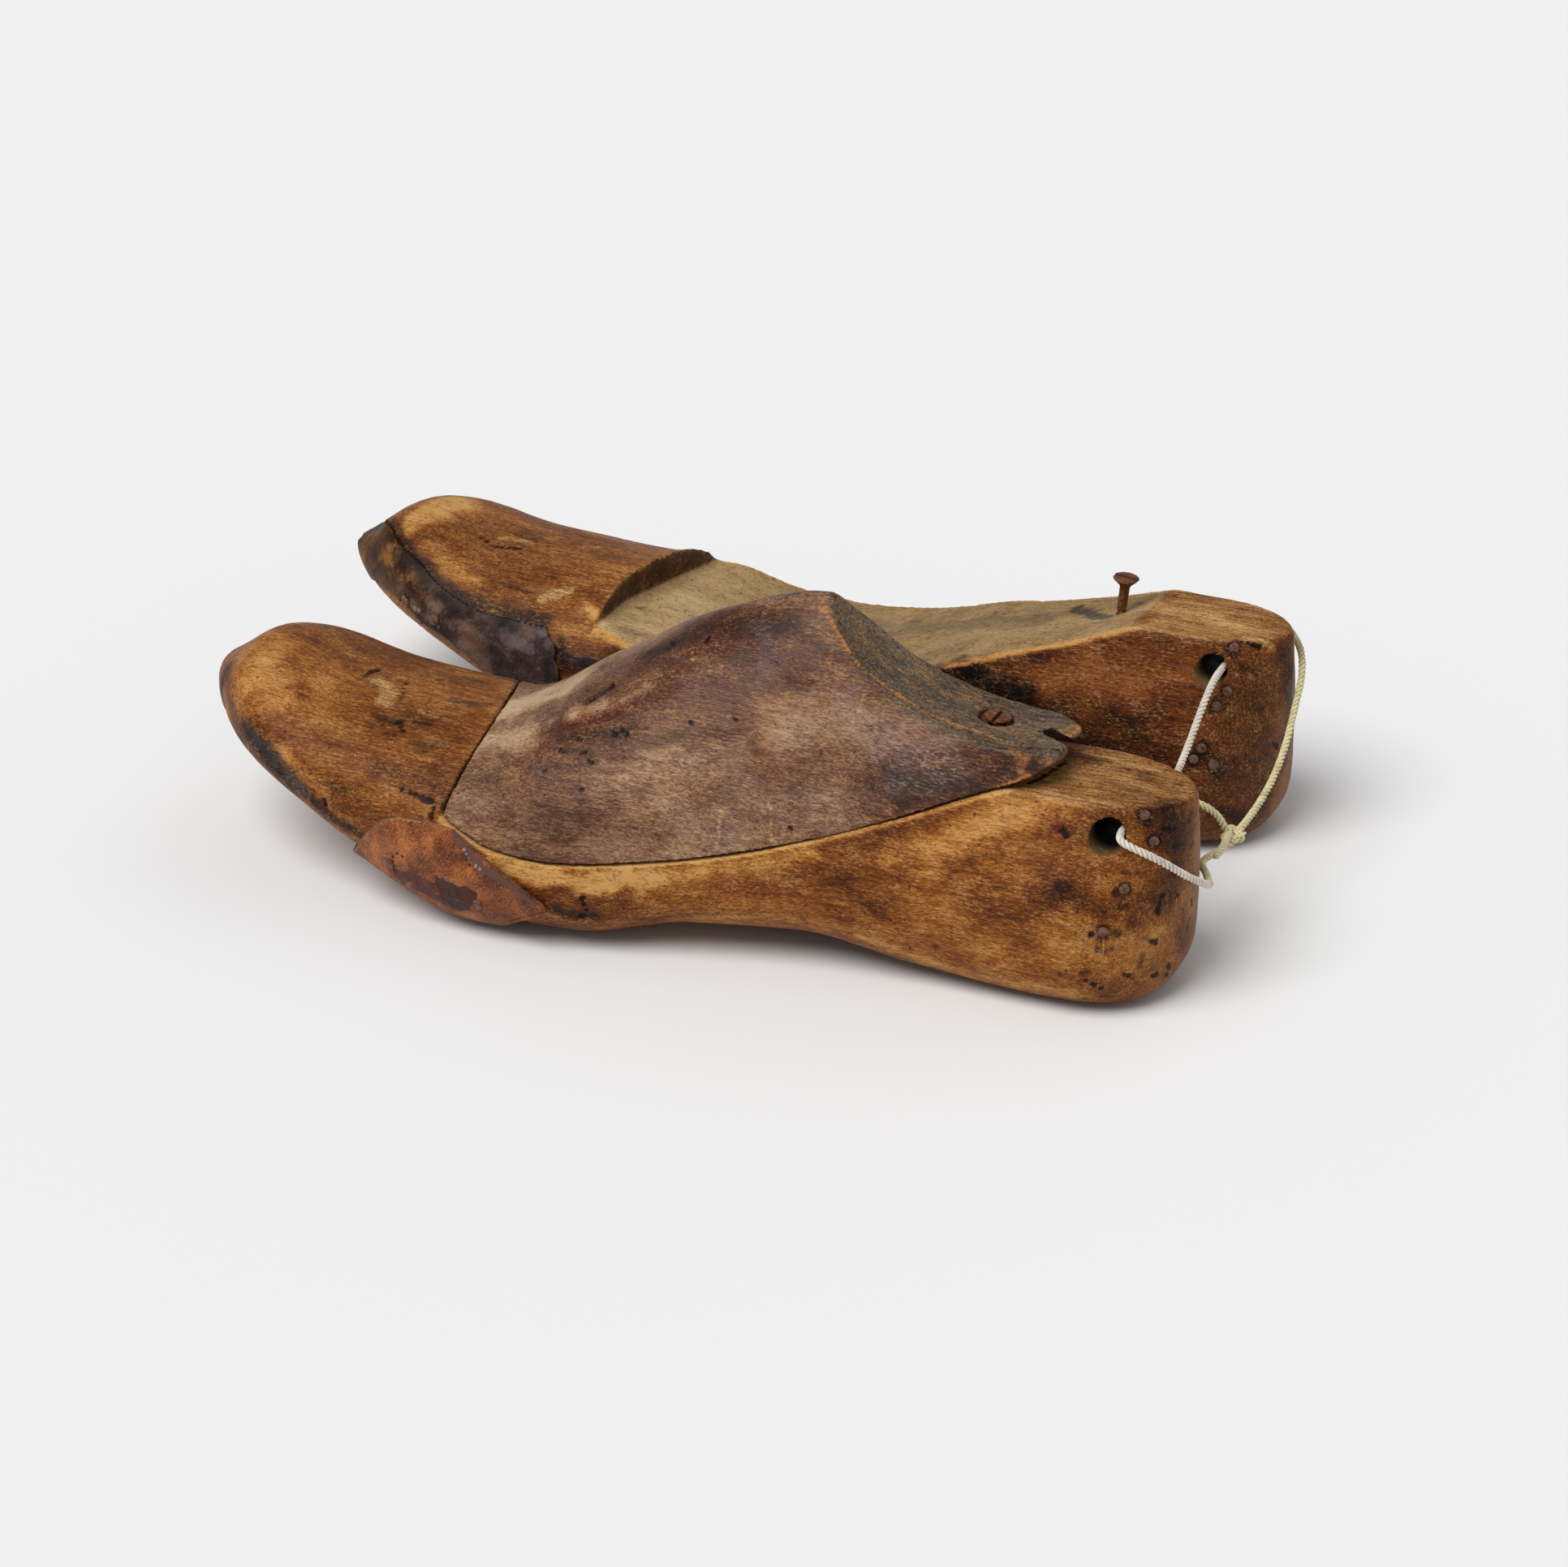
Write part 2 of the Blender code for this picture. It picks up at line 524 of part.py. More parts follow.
def natural_curve(points, step):
    """Points at equal steps on a natural cubic curve through the route's own points."""
    p = np.array(points, float)
    t = np.concatenate([[0], np.cumsum(np.linalg.norm(np.diff(p, axis=0), axis=1))])
    n, h = len(p), np.diff(t)
    system, right = np.eye(n), np.zeros((n, 3))
    for i in range(1, n - 1):
        system[i, i - 1:i + 2] = h[i - 1], 2 * (h[i - 1] + h[i]), h[i]
        right[i] = 6 * ((p[i + 1] - p[i]) / h[i] - (p[i] - p[i - 1]) / h[i - 1])
    m = np.linalg.solve(system, right)

    def at(s):
        i = min(int(np.searchsorted(t, s, side="right")) - 1, n - 2)
        a, b = (t[i + 1] - s) / h[i], (s - t[i]) / h[i]
        return (a * p[i] + b * p[i + 1]
                + ((a ** 3 - a) * m[i] + (b ** 3 - b) * m[i + 1]) * h[i] ** 2 / 6)
    count = max(2, round(t[-1] / step))
    return [at(t[-1] * k / count) for k in range(count + 1)]


def cord_piece(name, route, parent):
    """A stretch of cord as a round tube with filled caps."""
    points = natural_curve(route, CORD_STEP)
    curve = bpy.data.curves.new(name, "CURVE")
    curve.dimensions = "3D"
    curve.bevel_depth = CORD_RADIUS
    curve.bevel_resolution = 2
    curve.use_fill_caps = True
    spline = curve.splines.new("POLY")
    spline.points.add(len(points) - 1)
    for target, point in zip(spline.points, points):
        target.co = (*point, 1)
    length = sum(float(np.linalg.norm(b - a)) for a, b in zip(points, points[1:]))
    print("%s length %.1f mm, %d points" % (name, 1000 * length, len(points)))
    return add(name, curve, parent, CORD)


def knot_piece(parent):
    shape = bmesh.new()
    bmesh.ops.create_uvsphere(shape, u_segments=16, v_segments=10, radius=1,
                              matrix=Matrix.Diagonal((*KNOT_RADII, 1)))
    mesh = bpy.data.meshes.new("cord_knot")
    shape.to_mesh(mesh)
    shape.free()
    mesh.shade_smooth()
    made = add("cord_knot", mesh, parent, CORD)
    made.location = KNOT_PLACE
    return made


def build_last(last, parent):
    """The wood of one last, with its seat sawn out, its flat top and its thimble hole."""
    body = add(last.name + "_last_body", last_blank(last, last.name + "_last_body"), parent, WOOD)
    boolean(body, seat_cutter(last, parent))
    bore(last, body, parent)
    return body


def screw_axis():
    return Vector((math.sin(SCREW_TILT), 0, math.cos(SCREW_TILT)))


def build_front(parent):
    body = build_last(FRONT, parent)
    block = add("front_instep_block", last_blank(FRONT, "front_instep_block"), parent, BLOCK_WOOD)
    boolean(block, block_cutter(FRONT, parent), "INTERSECT")
    half = TAIL_SPLIT_WIDTH / 2
    wedge = [(-TAIL_SPLIT_LENGTH, 0), (0.003, -1.25 * half), (0.003, 1.25 * half)]
    notch = add("front_tail_split_cutter", loft("split", [[(*p, z) for p in wedge] for z in TAIL_SPLIT_Z]),
                parent)
    notch.location = (-TAIL_FROM_BACK, TAIL_SPLIT_Y, 0)
    boolean(block, notch)

    axis = screw_axis()
    x = -FRONT_SCREW_FROM_BACK
    head = Vector((x, FRONT_SCREW_Y, ribbon_height(x + LAST_LENGTH) - SCREW_SUNK))
    screw = screw_piece("front_block_screw", parent, IRON)
    aim(screw, head, axis)
    way = screw_passage("front_screw_cutter", parent)
    aim(way, head, axis)
    boolean(block, way)
    boolean(body, way)

    patch = leather(FRONT, "front_leather_patch", parent, SUEDE, LEATHER_THICKNESS, PATCH_UPPER_EDGE,
                    PATCH_LOWER_TURN, PATCH_FIRST, PATCH_FINAL)
    tacks(FRONT, "patch", parent, patch, body, LEATHER_THICKNESS, PATCH_TACKS)
    nails(FRONT, body, parent, FRONT_NAILS)


def build_rear(parent):
    body = build_last(REAR, parent)
    axis = screw_axis()
    foot = Vector((-REAR_SCREW_FROM_BACK, REAR_SCREW_Y, REAR.floor(LAST_LENGTH - REAR_SCREW_FROM_BACK)))
    head = foot + axis * SCREW_PROUD
    screw = screw_piece("rear_block_screw", parent, IRON)
    aim(screw, head, axis)
    shank = SCREW_SHANK_RADIUS + GAP
    way = turned("rear_screw_cutter", [(0, 0.0), (shank, 0.0), (shank, -SCREW_LENGTH - GAP),
                                       (0, -SCREW_LENGTH - GAP)], parent)
    aim(way, head, axis)
    boolean(body, way)
    piece = leather(REAR, "rear_leather_buildup", parent, BLACK_LEATHER, BUILDUP_THICKNESS,
                    BUILDUP_UPPER_EDGE, BUILDUP_LOWER_TURN, BUILDUP_FIRST, BUILDUP_FINAL)
    tacks(REAR, "buildup", parent, piece, body, BUILDUP_THICKNESS, BUILDUP_TACKS)
    nails(REAR, body, parent, REAR_NAILS)


def stand(last, parent):
    """An empty at the back of the last's heel, on the ground, that the last's pieces hang from."""
    place = bpy.data.objects.new(last.name + "_last_place", None)
    PARTS.objects.link(place)
    place.parent = parent
    place.location = (*last.heel, 0)
    place.rotation_euler = (0, 0, last.yaw)
    return place


def corners(made, depsgraph):
    evaluated = made.evaluated_get(depsgraph)
    mesh = evaluated.to_mesh()
    points = [evaluated.matrix_world @ v.co for v in mesh.vertices]
    evaluated.to_mesh_clear()
    return ([min(p[k] for p in points) for k in range(3)], [max(p[k] for p in points) for k in range(3)])


def stand_on_origin(pair):
    """Moves the pair so that the bottom centre of its box, cord left out, is the origin."""
    bpy.context.view_layer.update()
    depsgraph = bpy.context.evaluated_depsgraph_get()
    boxes = [corners(o, depsgraph) for o in PARTS.objects
             if o.type == "MESH" and not o.name.startswith("cord")]
    low = [min(b[0][k] for b in boxes) for k in range(3)]
    high = [max(b[1][k] for b in boxes) for k in range(3)]
    pair.location = (-(low[0] + high[0]) / 2, -(low[1] + high[1]) / 2, -low[2])
    bpy.context.view_layer.update()
    print("pair moved by %.2f %.2f %.2f mm" % tuple(1000 * v for v in pair.location))
    print("box %.2f x %.2f x %.2f mm" % tuple(1000 * (b - a) for a, b in zip(low, high)))


# What is particular to each last, as distances from the back of its heel or from its toe
FRONT = Last("front", 1, (0.150, -0.020), 0.0, FRONT_FLOOR, 0.0, 0.0573, 0.0500,
             (0.0863, -0.163, -3.7), 0.0)
REAR = Last("rear", -1, (0.1472, 0.0762), math.radians(-1.15), REAR_FLOOR, 0.04, 0.0615, 0.0535,
            (0.0898, -0.125, 0.0), BUILDUP_BED)
FRONT_SCREW_FROM_BACK = 0.0565
FRONT_SCREW_Y = 0.0015
REAR_SCREW_FROM_BACK = 0.0510
REAR_SCREW_Y = 0.0020
FRONT_NAILS = [(0.0100, 0.0553), (0.0072, 0.0486), (0.0124, 0.0373), (0.0161, 0.0266)]
REAR_NAILS = [(0.0133, 0.0596), (0.0134, 0.0483), (0.0155, 0.0443), (0.0179, 0.0332),
              (0.0196, 0.0301), (0.0143, 0.0288)]
PATCH_UPPER_EDGE = [(0.058, 0.0215), (0.070, 0.0278), (0.079, 0.0295), (0.0905, 0.0285),
                    (0.096, 0.0262), (0.105, 0.0218), (0.121, 0.0128)]
PATCH_LOWER_TURN = math.radians(40)
PATCH_FIRST = (0.0660, 0.0600)
PATCH_FINAL = (0.1190, 0.1120)
PATCH_TACKS = [(0.0744, 0.0171), (0.1009, 0.0119)]
BUILDUP_UPPER_EDGE = [(0.005, 0.0462), (0.0095, 0.0472), (0.031, 0.0480), (0.052, 0.0430),
                      (0.069, 0.0385), (0.078, 0.0360), (0.086, 0.0310)]
BUILDUP_LOWER_TURN = math.radians(44)
BUILDUP_FIRST = (0.0080, 0.0065)
BUILDUP_FINAL = (0.0830, 0.0900)
BUILDUP_TACKS = [(0.0277, 0.0375), (0.0378, 0.0349)]

for old in list(bpy.data.objects):
    bpy.data.objects.remove(old, do_unlink=True)
PARTS = collection("cobbler_last_pair")
CUTTERS = collection("cutters")
WOOD = material("worn_wood", (0.33, 0.15, 0.055), 0.45)
BLOCK_WOOD = material("block_wood", (0.16, 0.07, 0.035), 0.40)
SUEDE = material("rust_suede", (0.30, 0.09, 0.03), 0.9)
BLACK_LEATHER = material("black_leather", (0.035, 0.022, 0.018), 0.35)
IRON = material("rusty_iron", (0.12, 0.05, 0.03), 0.75, 0.5)
CORD = material("pale_cord", (0.70, 0.62, 0.42), 0.8)

pair = bpy.data.objects.new("pair_place", None)
PARTS.objects.link(pair)
build_front(stand(FRONT, pair))
build_rear(stand(REAR, pair))
knot_piece(pair)
cord_piece("cord", CORD_ROUTE, pair)
cord_piece("cord_tail_upper", UPPER_TAIL, pair)
cord_piece("cord_tail_lower", LOWER_TAIL, pair)
stand_on_origin(pair)
for label in ("front_block_screw", "rear_block_screw"):
    print(label, "at", tuple(round(v, 5) for v in bpy.data.objects[label].matrix_world.translation))
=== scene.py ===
"""The tied pair of old block lasts, dressed in worn wood, leather, rusty iron and twisted cord.

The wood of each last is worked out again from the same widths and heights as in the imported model, only
finer, then worn, dented and stained. All lengths are in metres unless a name says otherwise.
"""
import math

import bmesh
import bpy
import numpy as np
from mathutils import Matrix, Vector
from mathutils.bvhtree import BVHTree


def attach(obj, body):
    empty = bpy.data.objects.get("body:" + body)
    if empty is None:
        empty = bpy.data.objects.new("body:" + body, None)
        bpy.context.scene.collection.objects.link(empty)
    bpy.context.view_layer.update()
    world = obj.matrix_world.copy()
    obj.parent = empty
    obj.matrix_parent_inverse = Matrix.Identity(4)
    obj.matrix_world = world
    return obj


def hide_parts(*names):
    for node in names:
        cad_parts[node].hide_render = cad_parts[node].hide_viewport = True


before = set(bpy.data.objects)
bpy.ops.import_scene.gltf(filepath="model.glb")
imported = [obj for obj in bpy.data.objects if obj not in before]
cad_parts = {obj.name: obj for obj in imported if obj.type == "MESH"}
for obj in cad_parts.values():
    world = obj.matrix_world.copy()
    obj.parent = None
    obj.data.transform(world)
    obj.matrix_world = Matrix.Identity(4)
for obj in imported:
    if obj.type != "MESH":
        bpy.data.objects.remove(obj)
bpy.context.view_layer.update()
SCENE = bpy.context.scene
MM = 0.001

# Camera: the photograph's place and angle
PHOTO_WIDTH = 1932
PHOTO_HEIGHT = 1931
FOCAL_PIXELS = 5780.7
AZIMUTH = math.radians(21.94)
ELEVATION = math.radians(26.46)
EYE = Vector((0.44774, -1.08772, 0.5965))
RIGHT = Vector((math.cos(AZIMUTH), math.sin(AZIMUTH), 0))
FORWARD = Vector((-math.sin(AZIMUTH) * math.cos(ELEVATION), math.cos(AZIMUTH) * math.cos(ELEVATION),
                  -math.sin(ELEVATION)))
UP = RIGHT.cross(FORWARD)

# How far the pair was moved so that its box stands on the origin
SHIFT = Vector((-0.00606, -0.02822, 0.0))


def camera():
    data = bpy.data.cameras.new("camera")
    data.sensor_fit = "HORIZONTAL"
    data.angle = 2 * math.atan(PHOTO_WIDTH / 2 / FOCAL_PIXELS)
    made = bpy.data.objects.new("camera", data)
    SCENE.collection.objects.link(made)
    turn = Matrix((RIGHT, UP, -FORWARD)).transposed()
    made.matrix_world = Matrix.Translation(EYE) @ turn.to_4x4()
    SCENE.camera = made


def sight(px, py):
    """The direction from the camera through a pixel of the photograph."""
    across_frame, down_frame = px - PHOTO_WIDTH / 2, py - PHOTO_HEIGHT / 2
    return (FORWARD * FOCAL_PIXELS + RIGHT * across_frame - UP * down_frame).normalized()


def linear(r, g, b):
    """A colour as written on a screen, 0 to 255, in linear light."""
    return tuple((v / 255 / 12.92) if v < 10.3 else ((v / 255 + 0.055) / 1.055) ** 2.4 for v in (r, g, b))


def mesh_object(name, verts, faces, finish=None):
    mesh = bpy.data.meshes.new(name)
    mesh.from_pydata([tuple(v) for v in verts], [], faces)
    shape = bmesh.new()
    shape.from_mesh(mesh)
    bmesh.ops.recalc_face_normals(shape, faces=shape.faces)
    shape.to_mesh(mesh)
    shape.free()
    mesh.shade_smooth()
    made = bpy.data.objects.new(name, mesh)
    SCENE.collection.objects.link(made)
    if finish:
        mesh.materials.append(finish)
    return made


def loft(rings, tips=None):
    """Vertices and faces of a closed skin over rings of points, ended in tip points or flat caps."""
    rings = np.asarray(rings, float)
    rows, count = rings.shape[:2]
    verts = rings.reshape(-1, 3)
    here = np.arange(count)
    after = (here + 1) % count
    base = (np.arange(rows - 1) * count)[:, None]
    quads = np.stack([base + here, base + after, base + count + after, base + count + here], axis=-1)
    faces = quads.reshape(-1, 4).tolist()
    final = (rows - 1) * count
    if tips is None:
        faces.append(list(range(count))[::-1])
        faces.append(list(range(final, rows * count)))
    else:
        verts = np.vstack([verts, np.asarray(tips, float)])
        a, b = rows * count, rows * count + 1
        faces += [[int(after[i]), i, a] for i in range(count)]
        faces += [[final + i, final + int(after[i]), b] for i in range(count)]
    return verts, faces


def smooth(stations):
    """A monotone cubic through (x, value) pairs, for arrays of x."""
    xs, ys = np.array(stations, float).T
    h = np.diff(xs)
    d = np.diff(ys) / h
    m = np.concatenate(([d[0]], np.zeros(len(d) - 1), [d[-1]]))
    for i in range(1, len(d)):
        if d[i - 1] * d[i] > 0:
            w1, w2 = 2 * h[i] + h[i - 1], h[i] + 2 * h[i - 1]
            m[i] = (w1 + w2) / (w1 / d[i - 1] + w2 / d[i])

    def at(x):
        x = np.clip(x, xs[0], xs[-1])
        i = np.clip(np.searchsorted(xs, x, side="right") - 1, 0, len(xs) - 2)
        t = (x - xs[i]) / h[i]
        return ((1 + 2 * t) * (1 - t) ** 2 * ys[i] + t * (1 - t) ** 2 * h[i] * m[i]
                + t * t * (3 - 2 * t) * ys[i + 1] + t * t * (t - 1) * h[i] * m[i + 1])
    return at


# The noise's own numbers: what scatters its cells, and how far apart its seeds and octaves lie
CELL_PRIMES = (73856093, 19349663, 83492791)
CELL_MIXERS = ((13, 1274126177), (15, 668265263))
SEED_STEP = 31.7
OCTAVE_STEP = 7.3
WAVE_GAIN = 1.6


def random_waves(points, size, seed, octaves=3):
    """Smooth random values from -1 to 1 over points; size is the largest waves' length, per axis or not."""
    total = np.zeros(len(points))
    for k in range(octaves):
        p = points / np.asarray(size, float) * 2 ** k + SEED_STEP * seed + OCTAVE_STEP * k
        cell = np.floor(p).astype(np.int64)
        f = p - cell
        f = f * f * f * (f * (f * 6 - 15) + 10)
        value = np.zeros(len(points))
        for corner in range(8):
            step = np.array([corner & 1, corner >> 1 & 1, corner >> 2 & 1])
            weight = np.prod(np.where(step, f, 1 - f), axis=1)
            h = np.bitwise_xor.reduce((cell + step) * np.array(CELL_PRIMES), axis=1)
            for shift, factor in CELL_MIXERS:
                h = ((h ^ (h >> shift)) * factor) & 0xffffffff
            value += weight * (h / 2 ** 31 - 1)
        total += value * 0.5 ** k
    return total / sum(0.5 ** k for k in range(octaves)) * WAVE_GAIN


def ease(x, low, high):
    """0 below low, 1 above high and smooth between them."""
    t = np.clip((x - low) / (high - low), 0, 1)
    return t * t * (3 - 2 * t)


# The cord, which comes first because its route decides the model's reach
CORD_RADIUS = 0.00105
CORD_ROUTE = [(0.1508, 0.0193, 0.0293), (0.1513, 0.0280, 0.0298), (0.1520, 0.0420, 0.0325),
              (0.1515, 0.0580, 0.0381), (0.1504, 0.0700, 0.0446), (0.1497, 0.0760, 0.0482),
              (0.1483, 0.0810, 0.0512), (0.1456, 0.0865, 0.0530), (0.1418, 0.0920, 0.0538),
              (0.1374, 0.0956, 0.0538), (0.1334, 0.0944, 0.0536), (0.1315, 0.0900, 0.0534),
              (0.1313, 0.0820, 0.0533), (0.1311, 0.0700, 0.0533), (0.1309, 0.0600, 0.0536),
              (0.1311, 0.0520, 0.0530), (0.1310, 0.0460, 0.0504), (0.1311, 0.0380, 0.0466),
              (0.1314, 0.0300, 0.0436), (0.1322, 0.0200, 0.0420), (0.1334, 0.0110, 0.0426),
              (0.1342, 0.0030, 0.0460), (0.1344, -0.0050, 0.0493), (0.1345, -0.0200, 0.0503),
              (0.1345, -0.0320, 0.0506), (0.1349, -0.0380, 0.0509), (0.1370, -0.0422, 0.0512),
              (0.1406, -0.0430, 0.0503), (0.1440, -0.0410, 0.0480), (0.1476, -0.0375, 0.0445),
              (0.1505, -0.0330, 0.0403), (0.1527, -0.0280, 0.0364), (0.1539, -0.0220, 0.0326),
              (0.1531, -0.0172, 0.0303), (0.1508, -0.0112, 0.0287), (0.1485, -0.0064, 0.0281),
              (0.1466, -0.0028, 0.0278), (0.1465, 0.0006, 0.0277), (0.1482, 0.0048, 0.0279),
              (0.1496, 0.0106, 0.0282)]
UPPER_TAIL = [(0.1482, 0.0118, 0.0320), (0.1464, 0.0100, 0.0362), (0.1436, 0.0080, 0.0392),
              (0.1406, 0.0065, 0.0410)]
LOWER_TAIL = [(0.1494, 0.0104, 0.0306), (0.1502, 0.0055, 0.0310), (0.1506, 0.0005, 0.0311),
              (0.1504, -0.0035, 0.0309)]
KNOT_PLACE = Vector((0.1497, 0.0150, 0.0283)) + SHIFT
CORD_FINE_STEP = 0.00045
CORD_AROUND = 30
STRAND_PITCH = 0.0046
# Of the cord's radius: its three strands' radius and distance from the middle, and how far in they leave it
STRAND_RADIUS = 0.48
STRAND_OFFSET = 0.52
VALLEY_REACH = 0.58
CORD_END_WIDTH = 0.5
YARN_SLOPE = 0.0011
KNOT_SIZE = 1.35


def natural_curve(points, step):
    """Points at equal steps on a natural cubic curve through the route's own points."""
    p = np.array(points, float)
    t = np.concatenate([[0], np.cumsum(np.linalg.norm(np.diff(p, axis=0), axis=1))])
    n, h = len(p), np.diff(t)
    system, right = np.eye(n), np.zeros((n, 3))
    for i in range(1, n - 1):
        system[i, i - 1:i + 2] = h[i - 1], 2 * (h[i - 1] + h[i]), h[i]
        right[i] = 6 * ((p[i + 1] - p[i]) / h[i] - (p[i] - p[i - 1]) / h[i - 1])
    m = np.linalg.solve(system, right)
    s = np.linspace(0, t[-1], max(2, round(t[-1] / step)) + 1)
    i = np.clip(np.searchsorted(t, s, side="right") - 1, 0, n - 2)
    a, b = ((t[i + 1] - s) / h[i])[:, None], ((s - t[i]) / h[i])[:, None]
    return a * p[i] + b * p[i + 1] + ((a ** 3 - a) * m[i] + (b ** 3 - b) * m[i + 1]) * h[i, None] ** 2 / 6


def unit(v):
    return v / np.linalg.norm(v, axis=-1, keepdims=True)


def twisted_tube(points, start_turn):
    """Vertices, faces, and the strand and length coordinates of a three-strand cord along points."""
    p = np.asarray(points, float)
    along = unit(np.gradient(p, axis=0))
    side = np.zeros_like(p)
    side[0] = unit(np.cross(along[0], (0.0, 0.0, 1.0)))
    for k in range(1, len(p)):
        side[k] = unit(side[k - 1] - along[k] * np.dot(side[k - 1], along[k]))
    other = np.cross(along, side)
    run = np.concatenate([[0], np.cumsum(np.linalg.norm(np.diff(p, axis=0), axis=1))])
    angle = np.linspace(0, 2 * math.pi, CORD_AROUND, endpoint=False)
    twist = start_turn + run * 2 * math.pi / STRAND_PITCH
    phase = (angle[None, :] - twist[:, None]) % (2 * math.pi / 3) - math.pi / 3
    half_chord = np.sqrt(np.maximum(STRAND_RADIUS ** 2 - (STRAND_OFFSET * np.sin(phase)) ** 2, 0.004))
    reach = np.maximum(STRAND_OFFSET * np.cos(phase) + half_chord, VALLEY_REACH)
    taper = np.minimum(1.0, CORD_END_WIDTH + np.minimum(run, run[-1] - run) / (0.5 * CORD_RADIUS))
    wobble = 1 + 0.02 * np.sin(run * 900) + 0.015 * np.sin(run * 2300 + 1)
    r = CORD_RADIUS * reach * (taper * wobble)[:, None]
    rings = (p[:, None, :] + side[:, None, :] * (r * np.cos(angle))[..., None]
             + other[:, None, :] * (r * np.sin(angle))[..., None])
    verts, faces = loft(rings, (p[0], p[-1]))
    far = np.broadcast_to(run[:, None], r.shape)
    lay = np.concatenate([np.abs(phase).ravel() / (math.pi / 3), [0.5, 0.5]])
    yarn = np.concatenate([(far + phase * YARN_SLOPE).ravel(), [0, run[-1]]])
    return verts, faces, lay, yarn, np.concatenate([far.ravel(), [0, run[-1]]])


def set_attribute(made, name, values):
    made.data.attributes.new(name, "FLOAT", "POINT").data.foreach_set("value", np.asarray(values, float))


def cord_mesh(name, paths, finish):
    """One piece made of one or more stretches of twisted cord."""
    verts, faces, count = [], [], 0
    values = {"lay": [], "yarn": [], "run": []}
    for number, path in enumerate(paths):
        v, f, *coordinates = twisted_tube(path, 2.1 * number)
        verts.append(v)
        faces += [[i + count for i in face] for face in f]
        count += len(v)
        for found, stretch in zip(values.values(), coordinates):
            found.append(stretch)
    made = mesh_object(name, np.vstack(verts), faces, finish)
    for label, found in values.items():
        set_attribute(made, label, np.concatenate(found))
    return made


def leaned(points, about_y, about_x):
    """Points turned by degrees about X and then about Y."""
    turn = Matrix.Rotation(math.radians(about_y), 3, "Y") @ Matrix.Rotation(math.radians(about_x), 3, "X")
    return points @ np.array(turn.transposed())


def knot_paths():
    """A small pulled-tight overhand knot, one more turn round its waist, and the strands that run into it."""
    t = np.linspace(0.05, 2 * math.pi - 0.05, 90)
    trefoil = np.stack([0.62 * np.sin(t) + 1.05 * np.sin(2 * t), 0.55 * np.cos(t) - 0.95 * np.cos(2 * t),
                        -1.15 * np.sin(3 * t)], axis=1) * KNOT_SIZE * MM
    s = np.linspace(0, 3.6 * math.pi, 110)
    waist = np.stack([2.35 * np.cos(s), 1.5 * np.sin(s) + 0.2, 0.45 * (s / math.pi - 1.8) * KNOT_SIZE],
                     axis=1) * MM
    paths = [leaned(trefoil, 35, 60) + np.array(KNOT_PLACE), leaned(waist, -32, 18) + np.array(KNOT_PLACE)]
    for route in (CORD_ROUTE, CORD_ROUTE[::-1], UPPER_TAIL, LOWER_TAIL):
        start, after = np.array(route[:2]) + np.array(SHIFT)
        paths.append(start + np.outer(np.linspace(0.0006, -0.0040, 14), unit(after - start)))
    return paths


class Value:
    """What a shader node gives, so that sums with it are written as arithmetic."""

    def __init__(self, shader, socket):
        self.shader = shader
        self.socket = socket

    def __add__(self, other):
        return self.shader.math("ADD", self, other)

    def __sub__(self, other):
        return self.shader.math("SUBTRACT", self, other)

    def __rsub__(self, other):
        return self.shader.math("SUBTRACT", other, self)

    def __mul__(self, other):
        return self.shader.math("MULTIPLY", self, other)


